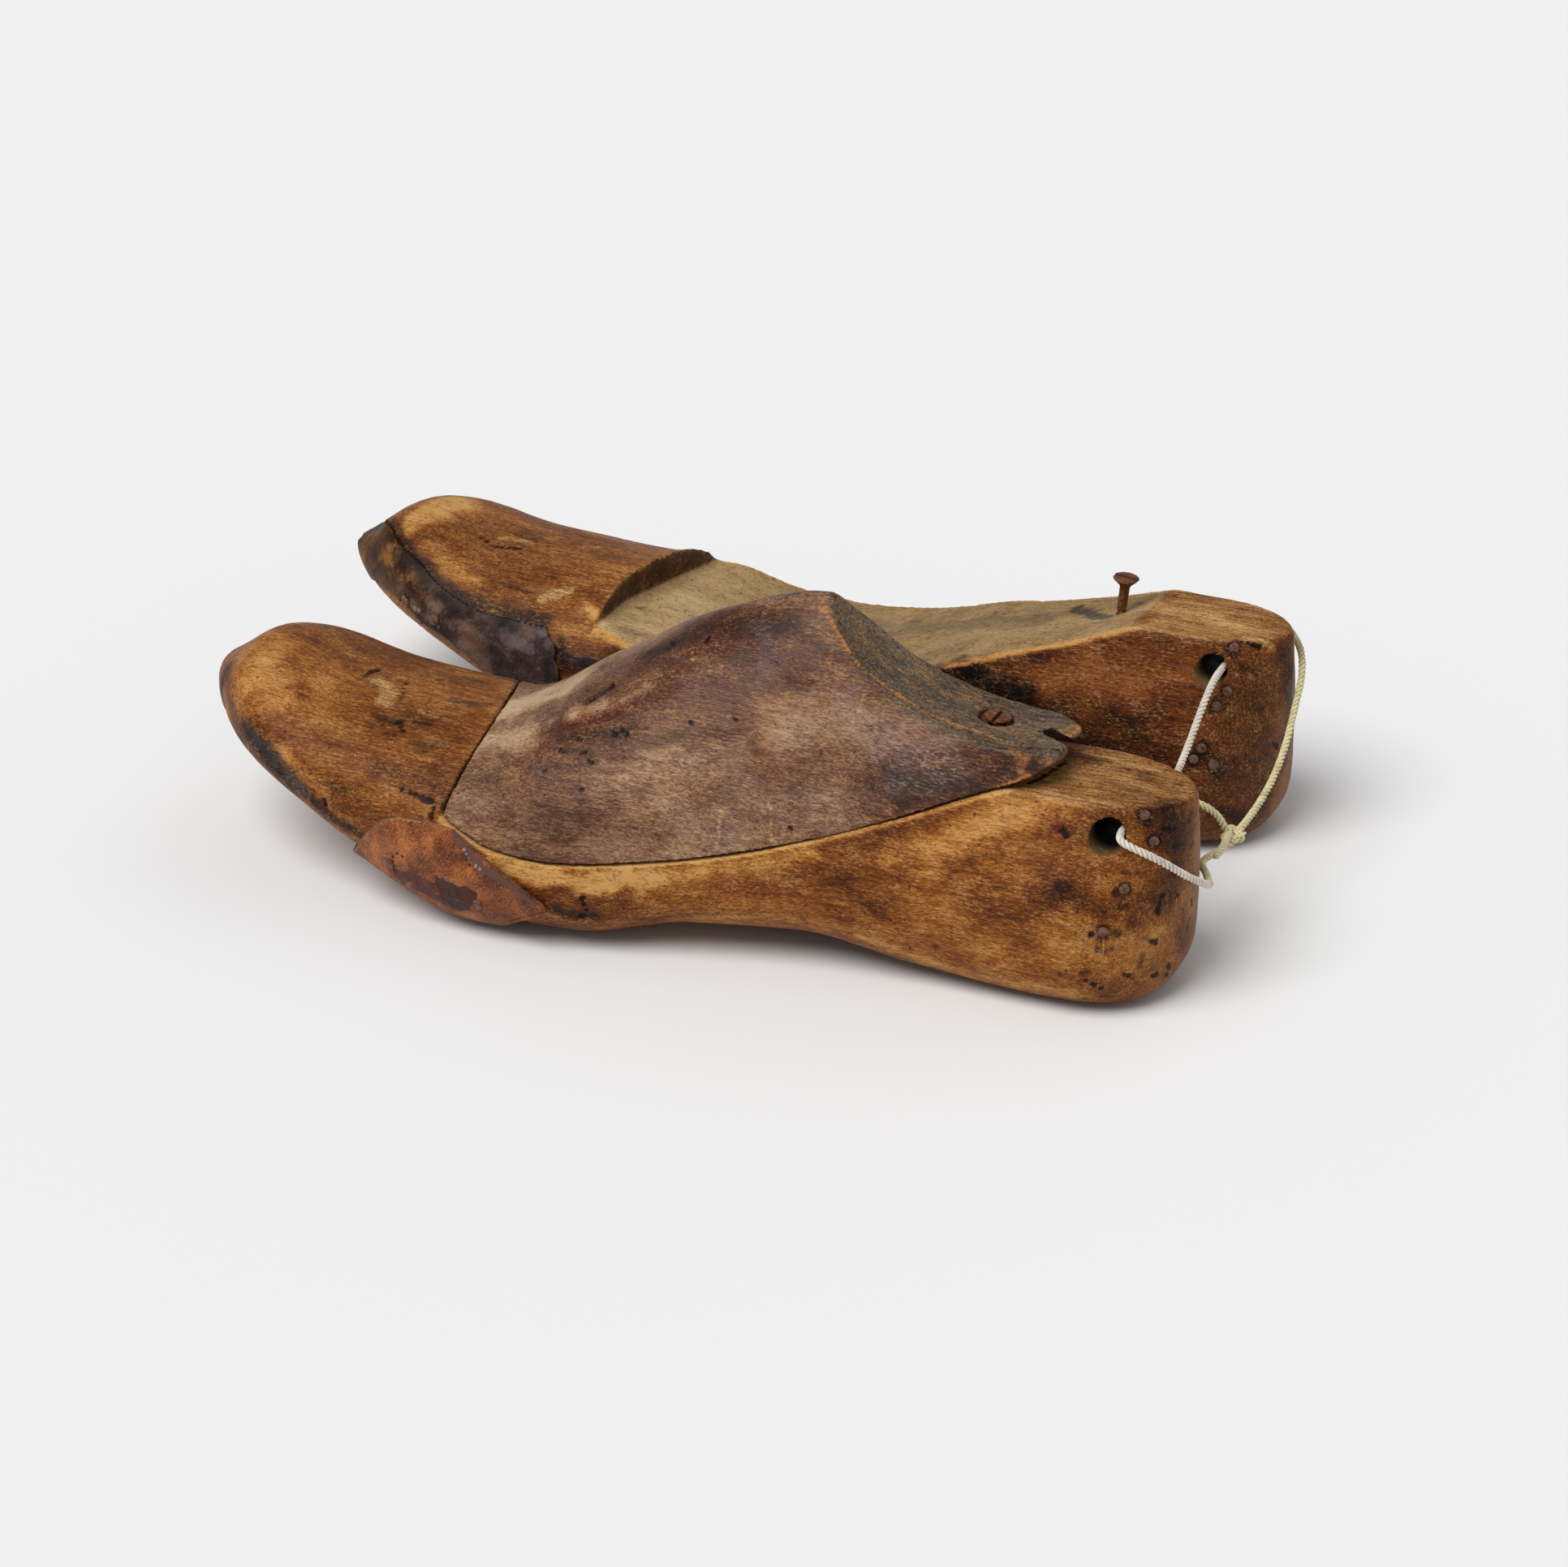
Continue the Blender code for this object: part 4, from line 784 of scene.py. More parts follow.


# Marks from each piece's toe to its heel; TAIL_CUT runs round the wood that the split tail has lost. Light
# and shade rows are partly painted light and painted shade; on the front last the dark row from 1268,964 to
# 1311,940 and the shade row from 1320,930 paint the shadow under the block's tail
FRONT_MARKS = marks("""
light 7 .4 0 300,850 322,815 348,795
light 8 .35 0 330,845 338,865
stain 3.6 1 0 276,880 272,850 280,822
shade 4 .8 0 280,888 300,915
grey 3.8 .62 -.25 316,914 340,938 362,962 373,976
stain 5.5 .95 0 304,900 324,932 356,968
stain 3.6 .8 0 268,850 274,880 290,906 310,930
shade 6 .5 0 276,830 290,890 330,930
stain 2 1 -.3 372,972 376,980
stain 3.2 .9 0 386,988 402,1000 420,1014 446,1030
dark 1.2 1 -.4 399,986 401,991
light 3 .5 0 348,925 372,950 404,984
red 5 .5 0 345,905 365,920
shade 6 .3 0 352,800 368,830 376,860
shade 14 .35 0 430,860 520,880 560,900
stain 2.6 .5 -.1 418,808 440,816
stain 1.8 .7 -.2 452,832 462,846
stain 1.8 .6 -.2 488,868 500,852
stain 2.4 .7 -.2 462,880 488,890 500,886
stain 3 .5 -.15 508,900 524,925 544,915
stain 2.2 .5 -.1 575,835 600,842
pale 3.4 .95 -.35 466,838 482,852 476,864
pale 1.5 .8 -.2 486,836 500,846
dark 1.4 .8 -.3 456,828 464,826
dark 1.2 .7 -.2 494,860 500,842
stain 1.8 .5 -.2 426,822 436,826
stain 1.6 .75 -.3 470,893 476,903 486,905
dark 1.4 .7 -.3 490,890 497,900
pale 2 .6 -.2 516,878 536,884
dark 1.3 .6 -.2 510,890 530,893
stain 2.2 .5 -.2 504,915 540,920
stain 2.6 .75 -.1 556,862 588,869
stain 2.4 .4 0 520,850 540,858
dark 1 1 -.35 496,973 512,979 531,988
shade 6 .45 0 470,950 530,960 560,985
red 7 .35 0 380,900 420,930 470,940
stain 3 .5 0 411,968 424,978
light 4.8 1.6 0 612,1066 660,1080 720,1088 800,1084
light 3 .45 0 800,1082 900,1070 1000,1050
dark 1 1 -.9 533,996 531,1008
dark .9 1 -.5 716,1108 722,1122 716,1130
stain 2.6 .9 -.2 684,1120 702,1128 736,1128
stain 1.8 .5 0 722,1130 800,1132 870,1126
shade 8 .5 0 980,1080 1040,1090 1080,1120
shade 7 .35 0 1100,1030 1130,1060
red 7 .55 0 880,1090 960,1100 1040,1130
red 7 .4 0 1100,1140 1180,1180
light 9 .75 0 1110,1050 1160,1040 1200,1020 1260,1000
light 4 .4 0 1290,990 1310,1000
shade 9.5 .8 0 1440,1000 1455,1060 1440,1100
shade 8 .55 0 1400,1120 1450,1130 1460,1160
shade 10 .4 0 1200,1110 1260,1130 1290,1100
light 3 .55 0 1060,1156 1200,1204 1330,1226
red 2.6 1 0 1302,1020 1316,1028 1326,1010
dark 1.4 .8 0 1310,1024 1314,1030
shade 5 .6 0 1308,1095 1330,1118 1356,1122
stain 1.7 .9 -.1 1428,1036 1430,1030
dark .7 .9 -.1 1434,1021 1447,1021
stain 2.1 .95 -.15 1448,1042 1458,1042 1468,1041
stain 2 .9 -.15 1466,1002 1465,1012
dark .9 1 -.2 1481,1014 1482,1016
dark .8 .9 -.2 1481,1027 1481,1029
stain 1.5 .7 0 1386,1076 1392,1077
stain 1.5 .7 0 1402,1076 1410,1077
stain 1.7 .8 0 1390,1092 1391,1100
stain 1.6 .8 -.1 1378,1115 1388,1116
stain 1.5 .6 0 1404,1103 1404,1116
dark 1.3 1 -.3 1431,1105 1427,1121
dark .8 .7 -.1 1434,1103 1451,1103
stain 2 .95 -.15 1344,1152 1352,1151 1366,1149 1378,1151
dark .9 1 -.2 1343,1153 1346,1152
stain 1.7 .9 -.15 1352,1171 1361,1173 1369,1171
stain 1.5 .7 0 1410,1157 1416,1158
dark 1 .9 -.2 1420,1160 1425,1161
stain 2 .7 0 1407,1178 1405,1190
stain 1.5 .85 -.15 1334,1200 1341,1198
dark 1.1 .9 -.3 1338,1208 1347,1212 1357,1218
stain 1.8 .7 0 1300,1208 1306,1202
dark 1.1 .9 -.2 1385,1202 1391,1203
stain 1.7 .8 -.1 1396,1206 1400,1212
dark .9 1 -.2 1421,1202 1424,1202
dark .9 1 -.2 1440,1190 1442,1193
dark .8 .9 -.2 1437,1201 1439,1202
stain 1.6 .7 0 1358,1227 1370,1228
dark .8 .8 -.2 1470,1078 1471,1084
dark .8 .8 -.2 1468,1110 1468,1114
dark .8 .8 -.2 1466,1132 1463,1142
stain 2 .4 0 1472,1150 1462,1180
scratch 9 1 0 1340,1150 1380,1170 1430,1140 1460,1090
light 8 .3 0 1290,1150 1340,1190 1400,1180 1440,1130
shade 4 .5 0 1412,960 1430,966
shade 4.5 .75 0 1320,930 1345,940 1300,930
pale 3 .4 0 1330,925 1375,935 1420,950
dark 1.1 1 -.2 1268,964 1280,959 1294,951 1311,940
stain 3 .35 0 1340,955 1400,975 1440,985
""")
# The grey row along the ridge from 792,800 paints a highlight on the block's upper rim, and the sheen rows
# paint the lamps' reflection; the light row from 604,884 is partly painted light on a face that turns up
BLOCK_MARKS = marks("""
light 12 1.4 0 604,884 650,862 700,846
light 8 .55 0 590,915 640,910
light 4 .6 0 700,880 740,866
light 2.6 .55 0 708,886 760,868 800,846
dark 1.1 1 -.4 750,848 754,845
dark .9 1 -.3 727,863 731,861
stain 2.2 .8 -.2 724,864 738,856 752,848
red 5 .8 0 690,896 740,884 790,868 830,850
stain 3.4 .6 -.15 690,910 720,908 780,896
dark 1 1 -.35 755,903 759,904
dark 1.1 1 -.35 765,900 771,904
dark .9 1 -.3 711,911 716,912
dark .8 .9 -.3 690,924 694,926
dark .9 .9 -.3 716,928 721,927
dark .8 .9 -.3 725,938 729,940
dark .8 .9 -.3 669,951 672,950
dark .8 .9 -.3 715,974 718,973
stain 3 .5 0 690,925 725,928 735,938
stain 3.6 .5 -.1 760,905 800,915 840,905
grey 1.6 .5 0 792,800 830,772 880,750 940,736 985,731
shade 7 .75 0 800,812 850,780 900,764 960,770
red 9 .7 0 830,820 880,790 940,790 980,830
shade 7 .35 0 880,800 930,810
gold .85 .8 0 1014,742 1020,760 1032,779 1054,815 1087,843 1137,876 1180,894 1203,901 1226,910 1249,915 \
  1267,920 1290,923
gold 1.3 .6 0 1002,748 1012,752
dark .7 1 -.3 870,790 872,786
dark .7 1 -.3 828,792 830,794
dark .8 1 -.3 850,889 852,892
dark .8 1 -.3 905,886 907,888
dark .7 .9 -.2 973,1020 975,1022
pale .5 .8 -.05 888,1000 884,1045
pale .5 .7 -.05 948,990 951,1035
pale .5 .9 -.05 1066,855 1058,875
pale .5 .8 -.05 852,798 854,812
pale .8 .8 -.05 1011,920 1015,917
pale 1.3 .5 0 1213,938 1221,942
pale .5 .6 0 893,962 880,990
pale .8 .9 0 545,969 552,968
light 9 .35 0 760,960 860,940 900,930
light 13 .55 0 960,900 1010,880 1060,900
red 12 .35 0 960,860 1040,880 1100,930
sheen 9 1 0 1040,880 1080,905 1120,925 1160,935
sheen 5 .6 0 1100,965 1160,962
sheen 5.5 .8 0 845,1018 890,1030
sheen 8 .45 0 900,960 960,985 1030,1000
sheen 5 .45 0 935,772 950,800 940,830
shade 10 .8 0 1110,955 1170,960 1250,950
red 6 .5 0 1150,935 1220,950 1262,940
gold 2.4 .35 0 1246,926 1264,936 1258,950
stain 2.6 .6 0 1272,934 1282,932 1268,950
grey 1.6 .7 0 1298,928 1306,929
dark .7 .9 -.2 1268,921 1289,922 1311,925
bare 2 1 0 1316,906 1324,904 1330,899
bare 1.4 .6 0 1308,900 1322,894
dark 1.1 1 -.2 1282,901 1296,904 1308,911
gold 1.8 .3 0 1240,896 1262,904 1282,912
gold .65 .6 0 544,1004 560,1026 582,1044 624,1059 687,1067 792,1067 900,1056
gold .9 .7 0 1212,977 1244,965 1268,956
grey 9 .2 0 600,970 660,1005 760,1025
red 14 .35 0 800,850 900,850 960,940
""")
TAIL_CUT = pixels("""
1296,862 1312,882.8 1320,887 1327,892 1331.5,896 1332.7,899 1332,903.5 1328,908.5 1321,910.5 1309,906
1297,898.5 1285,899.5 1285,905 1296,909.5 1306,915 1314,919 1316,922.5 1314.5,930 1308.6,935.6
1294.8,943.6 1281,951.7 1272,958 1290,1100 1420,1100 1420,862
""")
# On the near side under the seat, the shade rows between 1140,812 and 1430,940 and the stain row from
# 1150,838 paint the shade that the front last casts there, over darker wood
REAR_MARKS = marks("""
light 8.5 1.2 0 500,650 530,628 560,618
light 5.5 .55 0 528,672 548,694 584,716
stain 4 1 0 478,640 496,668 520,696
stain 4.2 1 0 520,696 546,726 600,752 672,766
stain 3 .8 0 690,790 694,815
shade 5 .45 0 590,640 640,655 660,662
pale 2.4 .5 -.25 620,662 650,667
dark 1.4 .7 -.25 592,662 606,672 640,676
stain 2 .5 -.2 580,702 604,708
stain 2.2 .7 -.25 630,722 652,730
pale 3.4 1 -.35 668,738 684,730 700,728
pale 1.8 .6 -.1 722,673 738,674
red 7 .45 0 600,620 680,650 760,670
shade 4 .35 0 650,625 760,656
light 4 .35 0 690,770 720,778 740,790
red 4 .5 0 710,800 745,800
shade 4 .85 0 690,800 700,822 730,822
grey 2.5 .7 0 706,812 730,820
light 3 1 0 726,750 738,762 748,782 776,798
gold 1.2 .9 0 738,774 762,791 785,803
gold .8 .45 0 742,748 754,728 775,709 800,694 825,683
shade 4 .5 0 770,778 800,785
grey 3.5 .7 0 1326,750 1362,760
grey 9 .36 0 1030,762 1100,775 1180,770 1280,765
stain 2.5 .4 0 1050,790 1100,796
shade 8 .8 0 1140,840 1200,850 1250,880 1300,910
red 3.4 1 0 1272,810 1290,807 1302,805
stain 2.2 .6 0 1276,811 1294,809
red 2.8 1 0 1354,790 1362,800
gold 1.1 .8 0 1165,822 1226,811 1286,797 1331,785 1392,772
light 11 .5 0 1290,840 1340,835 1400,845
light 6 .3 0 1330,880 1370,900
shade 4 .8 0 1180,812 1200,830 1270,850
stain 6.5 1 0 1150,838 1195,846 1245,864
shade 5 .55 0 1376,880 1400,898
shade 10 .55 0 1260,870 1360,920 1430,940
red 10 .5 0 1330,850 1400,870 1440,900
stain 2 .8 -.1 1530,822 1546,828
stain 1.6 .8 -.1 1536,872 1556,874
stain 2.4 .7 0 1500,872 1512,868
shade 4 .75 0 1476,935 1490,928 1500,945
stain 1.8 .6 0 1540,940 1560,935
dark 1.2 .9 -.2 1570,918 1573,920
shade 4.5 .55 0 1582,800 1590,870 1580,940 1556,990
scratch 9 .8 0 1500,880 1540,900 1560,850
shade 3.5 .8 0 1500,1000 1530,1006
pale 1.6 .95 -.25 1534,785 1548,788 1566,796
dark .7 1 -.3 1530,790 1552,797
light 6 .4 0 1420,745 1500,765 1560,780
red 3 .6 0 1385,766 1410,762
""")

# Each nail's distance to the heel's back and its height, each tack's distance to the toe and its height
FRONT_NAILS = [(0.0100, 0.0553), (0.0072, 0.0486), (0.0124, 0.0373), (0.0161, 0.0266)]
REAR_NAILS = [(0.0133, 0.0596), (0.0134, 0.0483), (0.0155, 0.0443), (0.0179, 0.0332), (0.0196, 0.0301),
              (0.0143, 0.0288)]
PATCH_TACKS = [(0.0744, 0.0171), (0.1009, 0.0119)]
BUILDUP_TACKS = [(0.0277, 0.0375), (0.0378, 0.0349)]

# Pins: the head's radius and depth, the shank's radius, the length, and how high the head is domed
TACK_HEAD_DEPTH = 0.0009
NAIL = (0.0014, 0.0007, 0.0008, 0.006, 0.00012)
TACK = (0.0015, TACK_HEAD_DEPTH, 0.0006, 0.009, 0.0003)
PIN_SIDES = 36
# How far a nail follows the wood's slope
NAIL_SLOPE = 0.3
PATCH_THICKNESS = 0.0020
BUILDUP_THICKNESS = 0.0016
# The size of the dents in forged iron, and how high they are
DENT_SIZE = 0.0016
DENT_HEIGHT = 0.0009
# The corners of a square, in order
SQUARE = ((-1, -1), (1, -1), (1, 1), (-1, 1))


def pin_place(last, x, z, level):
    """Where a pin meets the near side's wood, and the way that it points."""
    angle = float(angle_at(x, z, last.medial < 0))
    direction = outward(last, np.array([x]), np.array([angle]))[0]
    direction[2] *= level
    return surface(last, x, angle), unit(direction)


def nail_places(last, places):
    return [pin_place(last, L - back, z, NAIL_SLOPE) for back, z in places]


def aimed(points, place, direction):
    """Points of a piece that stands along +Z, turned along a direction and moved to its place."""
    turn = Vector(direction).to_track_quat("Z", "Y").to_matrix()
    return np.asarray(points) @ np.array(turn.transposed()) + np.asarray(place)


def turned_rings(profile, sides, rough, seed):
    """Rings of a shape turned about Z from (radius, height) pairs, a little out of round."""
    angles = np.linspace(0, 2 * math.pi, sides, endpoint=False)
    rings = []
    for r, z in profile:
        ring = np.stack([r * np.cos(angles), r * np.sin(angles), np.full(sides, float(z))], axis=1)
        wave = rough * random_waves(ring, DENT_SIZE, seed, 2)
        rings.append(ring * np.stack([1 + wave, 1 + wave, np.ones(sides)], axis=1)
                     + np.array([0, 0, 1]) * (wave * DENT_HEIGHT)[:, None])
    return np.array(rings)


def pin_piece(name, node, spot, kind, finish, seed):
    """A hand-made nail or tack with a worn, slightly uneven head."""
    head, depth, shank, length, dome = kind
    profile = [(0.25 * head, dome), (0.5 * head, 0.85 * dome), (0.75 * head, 0.5 * dome),
               (0.93 * head, 0.1 * dome), (head, -0.25 * depth), (0.98 * head, -0.7 * depth),
               (0.8 * head, -depth), (shank, -depth - 0.0001), (shank, 0.002 - length),
               (0.3 * shank, -length)]
    rings = turned_rings(profile, PIN_SIDES, 0.10, seed)
    verts, faces = loft(rings, (rings[0].mean(axis=0), rings[-1].mean(axis=0)))
    made = mesh_object(name, aimed(verts, *spot), faces, finish)
    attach(made, "lasts")
    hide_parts(node)


SCREW_HEAD_RADIUS = 0.0036
SCREW_HEAD_DEPTH = 0.0026
SCREW_LENGTH = 0.030
SCREW_SIDES = 48
# Each screw's distance to the heel's back and its place across, and how high its head lies
FRONT_SCREW = (0.0561, 0.0034)
REAR_SCREW = (0.0510, -0.0020)
SCREW_ABOVE_RIBBON = 0.0002
SCREW_PROUD = 0.0108
SHANK_RADIUS = 0.0014
THREAD_START = -0.0085
THREAD_STEP = 0.00014
THREAD_PITCH = 0.0017
THREAD_HEIGHT = 0.00045
CORE_LOSS = 0.0003
POINT_LENGTH = 0.006
SLOT_HALF = (0.0006, 0.0060, 0.0014)
# The recess in the block round the screw's head, and the screw's way through the block
RECESS_RADIUS = 0.0047
RECESS_DEPTH = 0.0022
RECESS_SHIFT = np.array((-0.0002, -0.0006, 0.0))
WAY_RADIUS = 0.0019


def screw_piece(name, node, body, place, direction, slot_turn, finish, seed):
    """A rusty slotted wood screw with its thread."""
    r, d = SCREW_HEAD_RADIUS, SCREW_HEAD_DEPTH
    profile = [(0.3 * r, 0.0001), (0.7 * r, 0.00005), (0.94 * r, -0.00005), (r, -0.0003), (0.97 * r, -0.0005),
               (0.78 * r, -0.0012), (0.58 * r, -0.0019), (0.43 * r, -d)]
    profile += [(SHANK_RADIUS, -d - 0.0008 * k) for k in range(1, 8)]
    angles = np.linspace(0, 2 * math.pi, SCREW_SIDES, endpoint=False)
    thread = []
    for z in np.arange(THREAD_START, -SCREW_LENGTH + 0.0004, -THREAD_STEP):
        point = np.clip((SCREW_LENGTH + z) / POINT_LENGTH, 0.08, 1)
        tooth = 2 * np.abs((angles / (2 * math.pi) - z / THREAD_PITCH) % 1 - 0.5)
        start = np.clip((THREAD_START - z) / 0.002, 0, 1)
        radius = point * (SHANK_RADIUS - CORE_LOSS * start + THREAD_HEIGHT * start * tooth ** 3)
        thread.append(np.stack([radius * np.cos(angles), radius * np.sin(angles), np.full(SCREW_SIDES, z)],
                               axis=1))
    rings = np.concatenate([turned_rings(profile, SCREW_SIDES, 0.05, seed), thread])
    verts, faces = loft(rings, ((0, 0, 0.0001), (0, 0, -SCREW_LENGTH)))
    made = mesh_object(name, aimed(verts, place, direction), faces, finish)
    turn = np.array(Matrix.Rotation(slot_turn, 3, "Z").transposed())
    box = [np.array([(x, y, z) for x, y in SQUARE]) * SLOT_HALF @ turn for z in (-1, 1)]
    slot = mesh_object(name + "_slot", *loft([aimed(ring, place, direction) for ring in box]))
    carve(made, [("DIFFERENCE", slot)])
    made.data.set_sharp_from_angle(angle=math.radians(35))
    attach(made, body)
    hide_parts(node)


def screw_place(last, from_back, y):
    """Head place and axis of a last's screw, in the block's ribbon or proud of the empty seat."""
    x = L - from_back
    upright = np.array([math.sin(SCREW_TILT), 0, math.cos(SCREW_TILT)])
    axis = np.array(Matrix.Rotation(last.yaw, 3, "Z")) @ upright
    if last is FRONT:
        return last.world(x, y, float(ribbon_height(x)) + SCREW_ABOVE_RIBBON), axis
    return last.world(x, y, float(last.floor(x))) + axis * SCREW_PROUD, axis


# Leather pieces, whose outlines are drawn over the photograph; the finest marks by their half width in mm
LEATHER_LEAST = 0.4
BLOCK_LEAST = 0.85
WOOD_LEAST = 1.15
PATCH_OUTLINE = pixels("""
430,1052 443.8,1032 457.6,1019 473,1008 490,1005.5 511,1008 535,1014 557,1020 576,1036 599,1058 618,1072
637,1089 656,1104.5 668,1113 673,1120 672,1126 662,1130.5 645,1134.5 628,1139 610,1146 600,1165 430,1100
""")
BUILDUP_OUTLINE = pixels("""
420,700 425,658 452,644 470,639 477,642 482.6,647 486.8,656.8 493,669.5 507.9,681 522.6,692 535.2,711.5
554.2,728.4 577.3,743.1 598.4,752.6 623.6,758.9 653.1,765.2 672,768.4 675.2,776.8 680.5,786.3 685.7,795.7
683.6,810.5 689,821 690,850 625,850 604.7,827 581.5,811 547.9,786 518.4,767 491,736 463.7,717 450,709
420,712
""")
# The pale row along the patch's upper rim paints a highlight where that edge catches the light from above,
# and the glint rows paint small highlights on its lip
PATCH_MARKS = marks("""
red 3.6 1 -.05 492,1078 510,1084 530,1092
dark 3.4 1 -.05 545,1092 562,1100 578,1104
dark 2.8 .9 0 548,1106 560,1114 572,1116
red 2.6 .8 0 515,1095 545,1110 566,1120
grey 1.9 1 -.25 562,1029 574,1048 588,1064 604,1078 626,1092 652,1108
glint .55 .7 .1 571,1047 577,1058
glint .5 .7 .1 586,1067 591,1072
dark .5 .8 -.2 567,1046 573,1060 584,1072
pale .9 1 0 462,1017 474,1010 490,1008 511,1010.5 535,1016 553,1021
dark .8 1 -.3 484,1056 489,1052 495,1056
dark .7 .7 -.2 484,1062 488,1068
dark .7 .5 0 660,1100 672,1114
""")
# The grey rows paint the bluish sheen on the glossy part of the build-up nearest the waist
BUILDUP_MARKS = marks("""
light 3 .45 0 478,684 484,702 500,712
light 2.6 .45 0 508,712 520,734 536,748
light 3 .3 0 458,690 466,712
light 3 .3 0 560,765 580,778
grey 3.4 .55 .15 622,782 636,792 652,800
grey 2.4 .5 .1 668,782 674,792
grey 2.6 .3 0 596,768 612,780
pale 1.1 .9 .05 498,738 505,746 516,752
pale 1 .7 0 536,764 540,772
dark .8 1 -.45 488,662 497,676 512,687 528,702 541,720 560,735 582,749 606,758 640,766 668,772
red 2 .9 0 452,700 462,715 476,728
red 2.4 .5 0 573,782 600,800
""")
# How deep the build-up's toe lies in the wood, and between which distances to the toe it comes out
TOE_SINK = 0.0010
SINK_RANGE = (0.004, 0.034)


def frustum(name, outline):
    """A solid whose outline, from the camera, runs through pixels of the photograph."""
    rings = []
    for depth in (0.9, 1.7):
        rays = [sight(px, py) for px, py in outline]
        rings.append([EYE + ray * (depth / ray.dot(FORWARD)) for ray in rays])
    return mesh_object(name, *loft(rings))


def sheet_over(last, name, first, final, low_turn, high_turn, thickness):
    """A closed sheet over the last's near side, from low_turn up to high_turn(x) round its section."""
    columns, rows = 150, 90
    x, v = np.meshgrid(first + (final - first) * np.linspace(0, 1, columns + 1) ** 1.5,
                       np.linspace(0, 1, rows + 1), indexing="ij")
    turn = -low_turn + (high_turn(x) + low_turn) * v
    angle = turn if last.medial < 0 else math.pi - turn
    out = outward(last, x, angle)
    base = surface(last, x, angle) - out * (TOE_SINK * (1 - ease(x, *SINK_RANGE)))[..., None]
    taper = 1 - (1 - ease(x, 0.0, 0.026)) * (0.45 + 0.35 * ease(turn, 0.1, 0.9))
    outer = base + out * (GAP + thickness * taper)[..., None]
    inner = base + out * (0.5 * GAP)
    count = (columns + 1) * (rows + 1)
    index = np.arange(count).reshape(columns + 1, rows + 1)
    quads = np.stack([index[:-1, :-1], index[1:, :-1], index[1:, 1:], index[:-1, 1:]], axis=-1).reshape(-1, 4)
    faces = quads.tolist() + (quads[:, ::-1] + count).tolist()
    border = np.concatenate([index[:-1, 0], index[-1, :-1], index[:0:-1, -1], index[0, :0:-1]])
    after = np.roll(border, -1)
    faces += np.stack([border, border + count, after + count, after], axis=-1).tolist()
    return mesh_object(name, np.vstack([outer.reshape(-1, 3), inner.reshape(-1, 3)]), faces)


def pixels_of(points):
    """Where points show in the photograph, and how many metres a pixel covers there."""
    away = points - np.array(EYE)
    depth = away @ np.array(FORWARD)
    px = PHOTO_WIDTH / 2 + FOCAL_PIXELS * (away @ np.array(RIGHT)) / depth
    py = PHOTO_HEIGHT / 2 - FOCAL_PIXELS * (away @ np.array(UP)) / depth
    return px, py, depth / FOCAL_PIXELS


def rim_distance(points, outline):
    """Distance in metres, as seen from the camera, to the nearest part of a closed outline."""
    px, py, scale = pixels_of(points)
    nearest = np.full(len(points), np.inf)
    for (ax, ay), (bx, by) in zip(outline, outline[1:] + outline[:1]):
        length = (bx - ax) ** 2 + (by - ay) ** 2
        t = np.clip(((px - ax) * (bx - ax) + (py - ay) * (by - ay)) / length, 0, 1)
        nearest = np.minimum(nearest, np.hypot(px - ax - t * (bx - ax), py - ay - t * (by - ay)))
    return nearest * scale


def within(points, outline):
    """1 for points that show inside a closed outline over the photograph, else 0."""
    px, py, _ = pixels_of(points)
    crossed = np.zeros(len(points), bool)
    for (ax, ay), (bx, by) in zip(outline, outline[1:] + outline[:1]):
        if ay != by:
            crossed ^= ((ay > py) != (by > py)) & (px < (bx - ax) * (py - ay) / (by - ay) + ax)
    return crossed.astype(float)


def paint(skin, drawn, least):
    """Lays the marks drawn over the photograph on the skin: masks, tone and depth; light and shade rows add
    painted light and painted shade to the tone.
    """
    skin.finder = skin.tree()
    for number, (kind, line, width, strength, push) in enumerate(drawn):
        soft = 0.7 if kind in ("dark", "grey", "glint") else 1.0
        cover = skin.stroke(line, max(width, least) * MM, 10 + number, soft)
        if kind in ("light", "shade"):
            skin.tone += cover * strength * (1 if kind == "light" else -1)
        else:
            skin.mark(kind, cover * strength)
        skin.depth += cover * push * MM


def leather_piece(name, node, last, outline, reach, low_turn, high_turn, thickness, drawn, finish, relief):
    """A leather piece glued over the near side: cut edges, a relief and the marks of the photograph."""
    made = sheet_over(last, name, *reach, low_turn, high_turn, thickness)
    carve(made, [("INTERSECT", frustum(name + "_outline", outline))], LEATHER_VOXEL)
    skin = Skin(made)
    skin.points = skin.relaxed(skin.points, 3)
    skin.clear("dark", "pale", "red", "grey", "glint")
    skin.tone = 0.4 * random_waves(skin.points, 0.012, 51)
    skin.depth = relief(skin.points)
    skin.depth -= 0.4 * thickness * (1 - ease(rim_distance(skin.points, outline), 0.0, 0.0014))
    paint(skin, drawn, LEATHER_LEAST)
    skin.masks["along"] = (last.own(skin.points)[0] - reach[0]) / (reach[1] - reach[0])
    normals = skin.normals()
    facing = ease(-last.medial * normals[:, 1] + normals[:, 2], -0.2, 0.3)
    skin.points = skin.points + normals * (skin.depth * facing)[:, None]
    skin.finish()
    made.data.materials.append(finish)
    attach(made, "lasts")
    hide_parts(node)
    return made


def patch_relief(points):
    """Suede: a gritty face."""
    return 0.00009 * random_waves(points, 0.0013, 31, 2) + 0.00020 * random_waves(points, 0.007, 32, 2)


def buildup_relief(points):
    """Thin old leather: long soft folds along the toe, glued down and worn."""
    folds = random_waves(points, (0.020, 0.007, 0.006), 42, 2)
    return 0.00006 * random_waves(points, 0.0018, 41, 2) + 0.00042 * folds


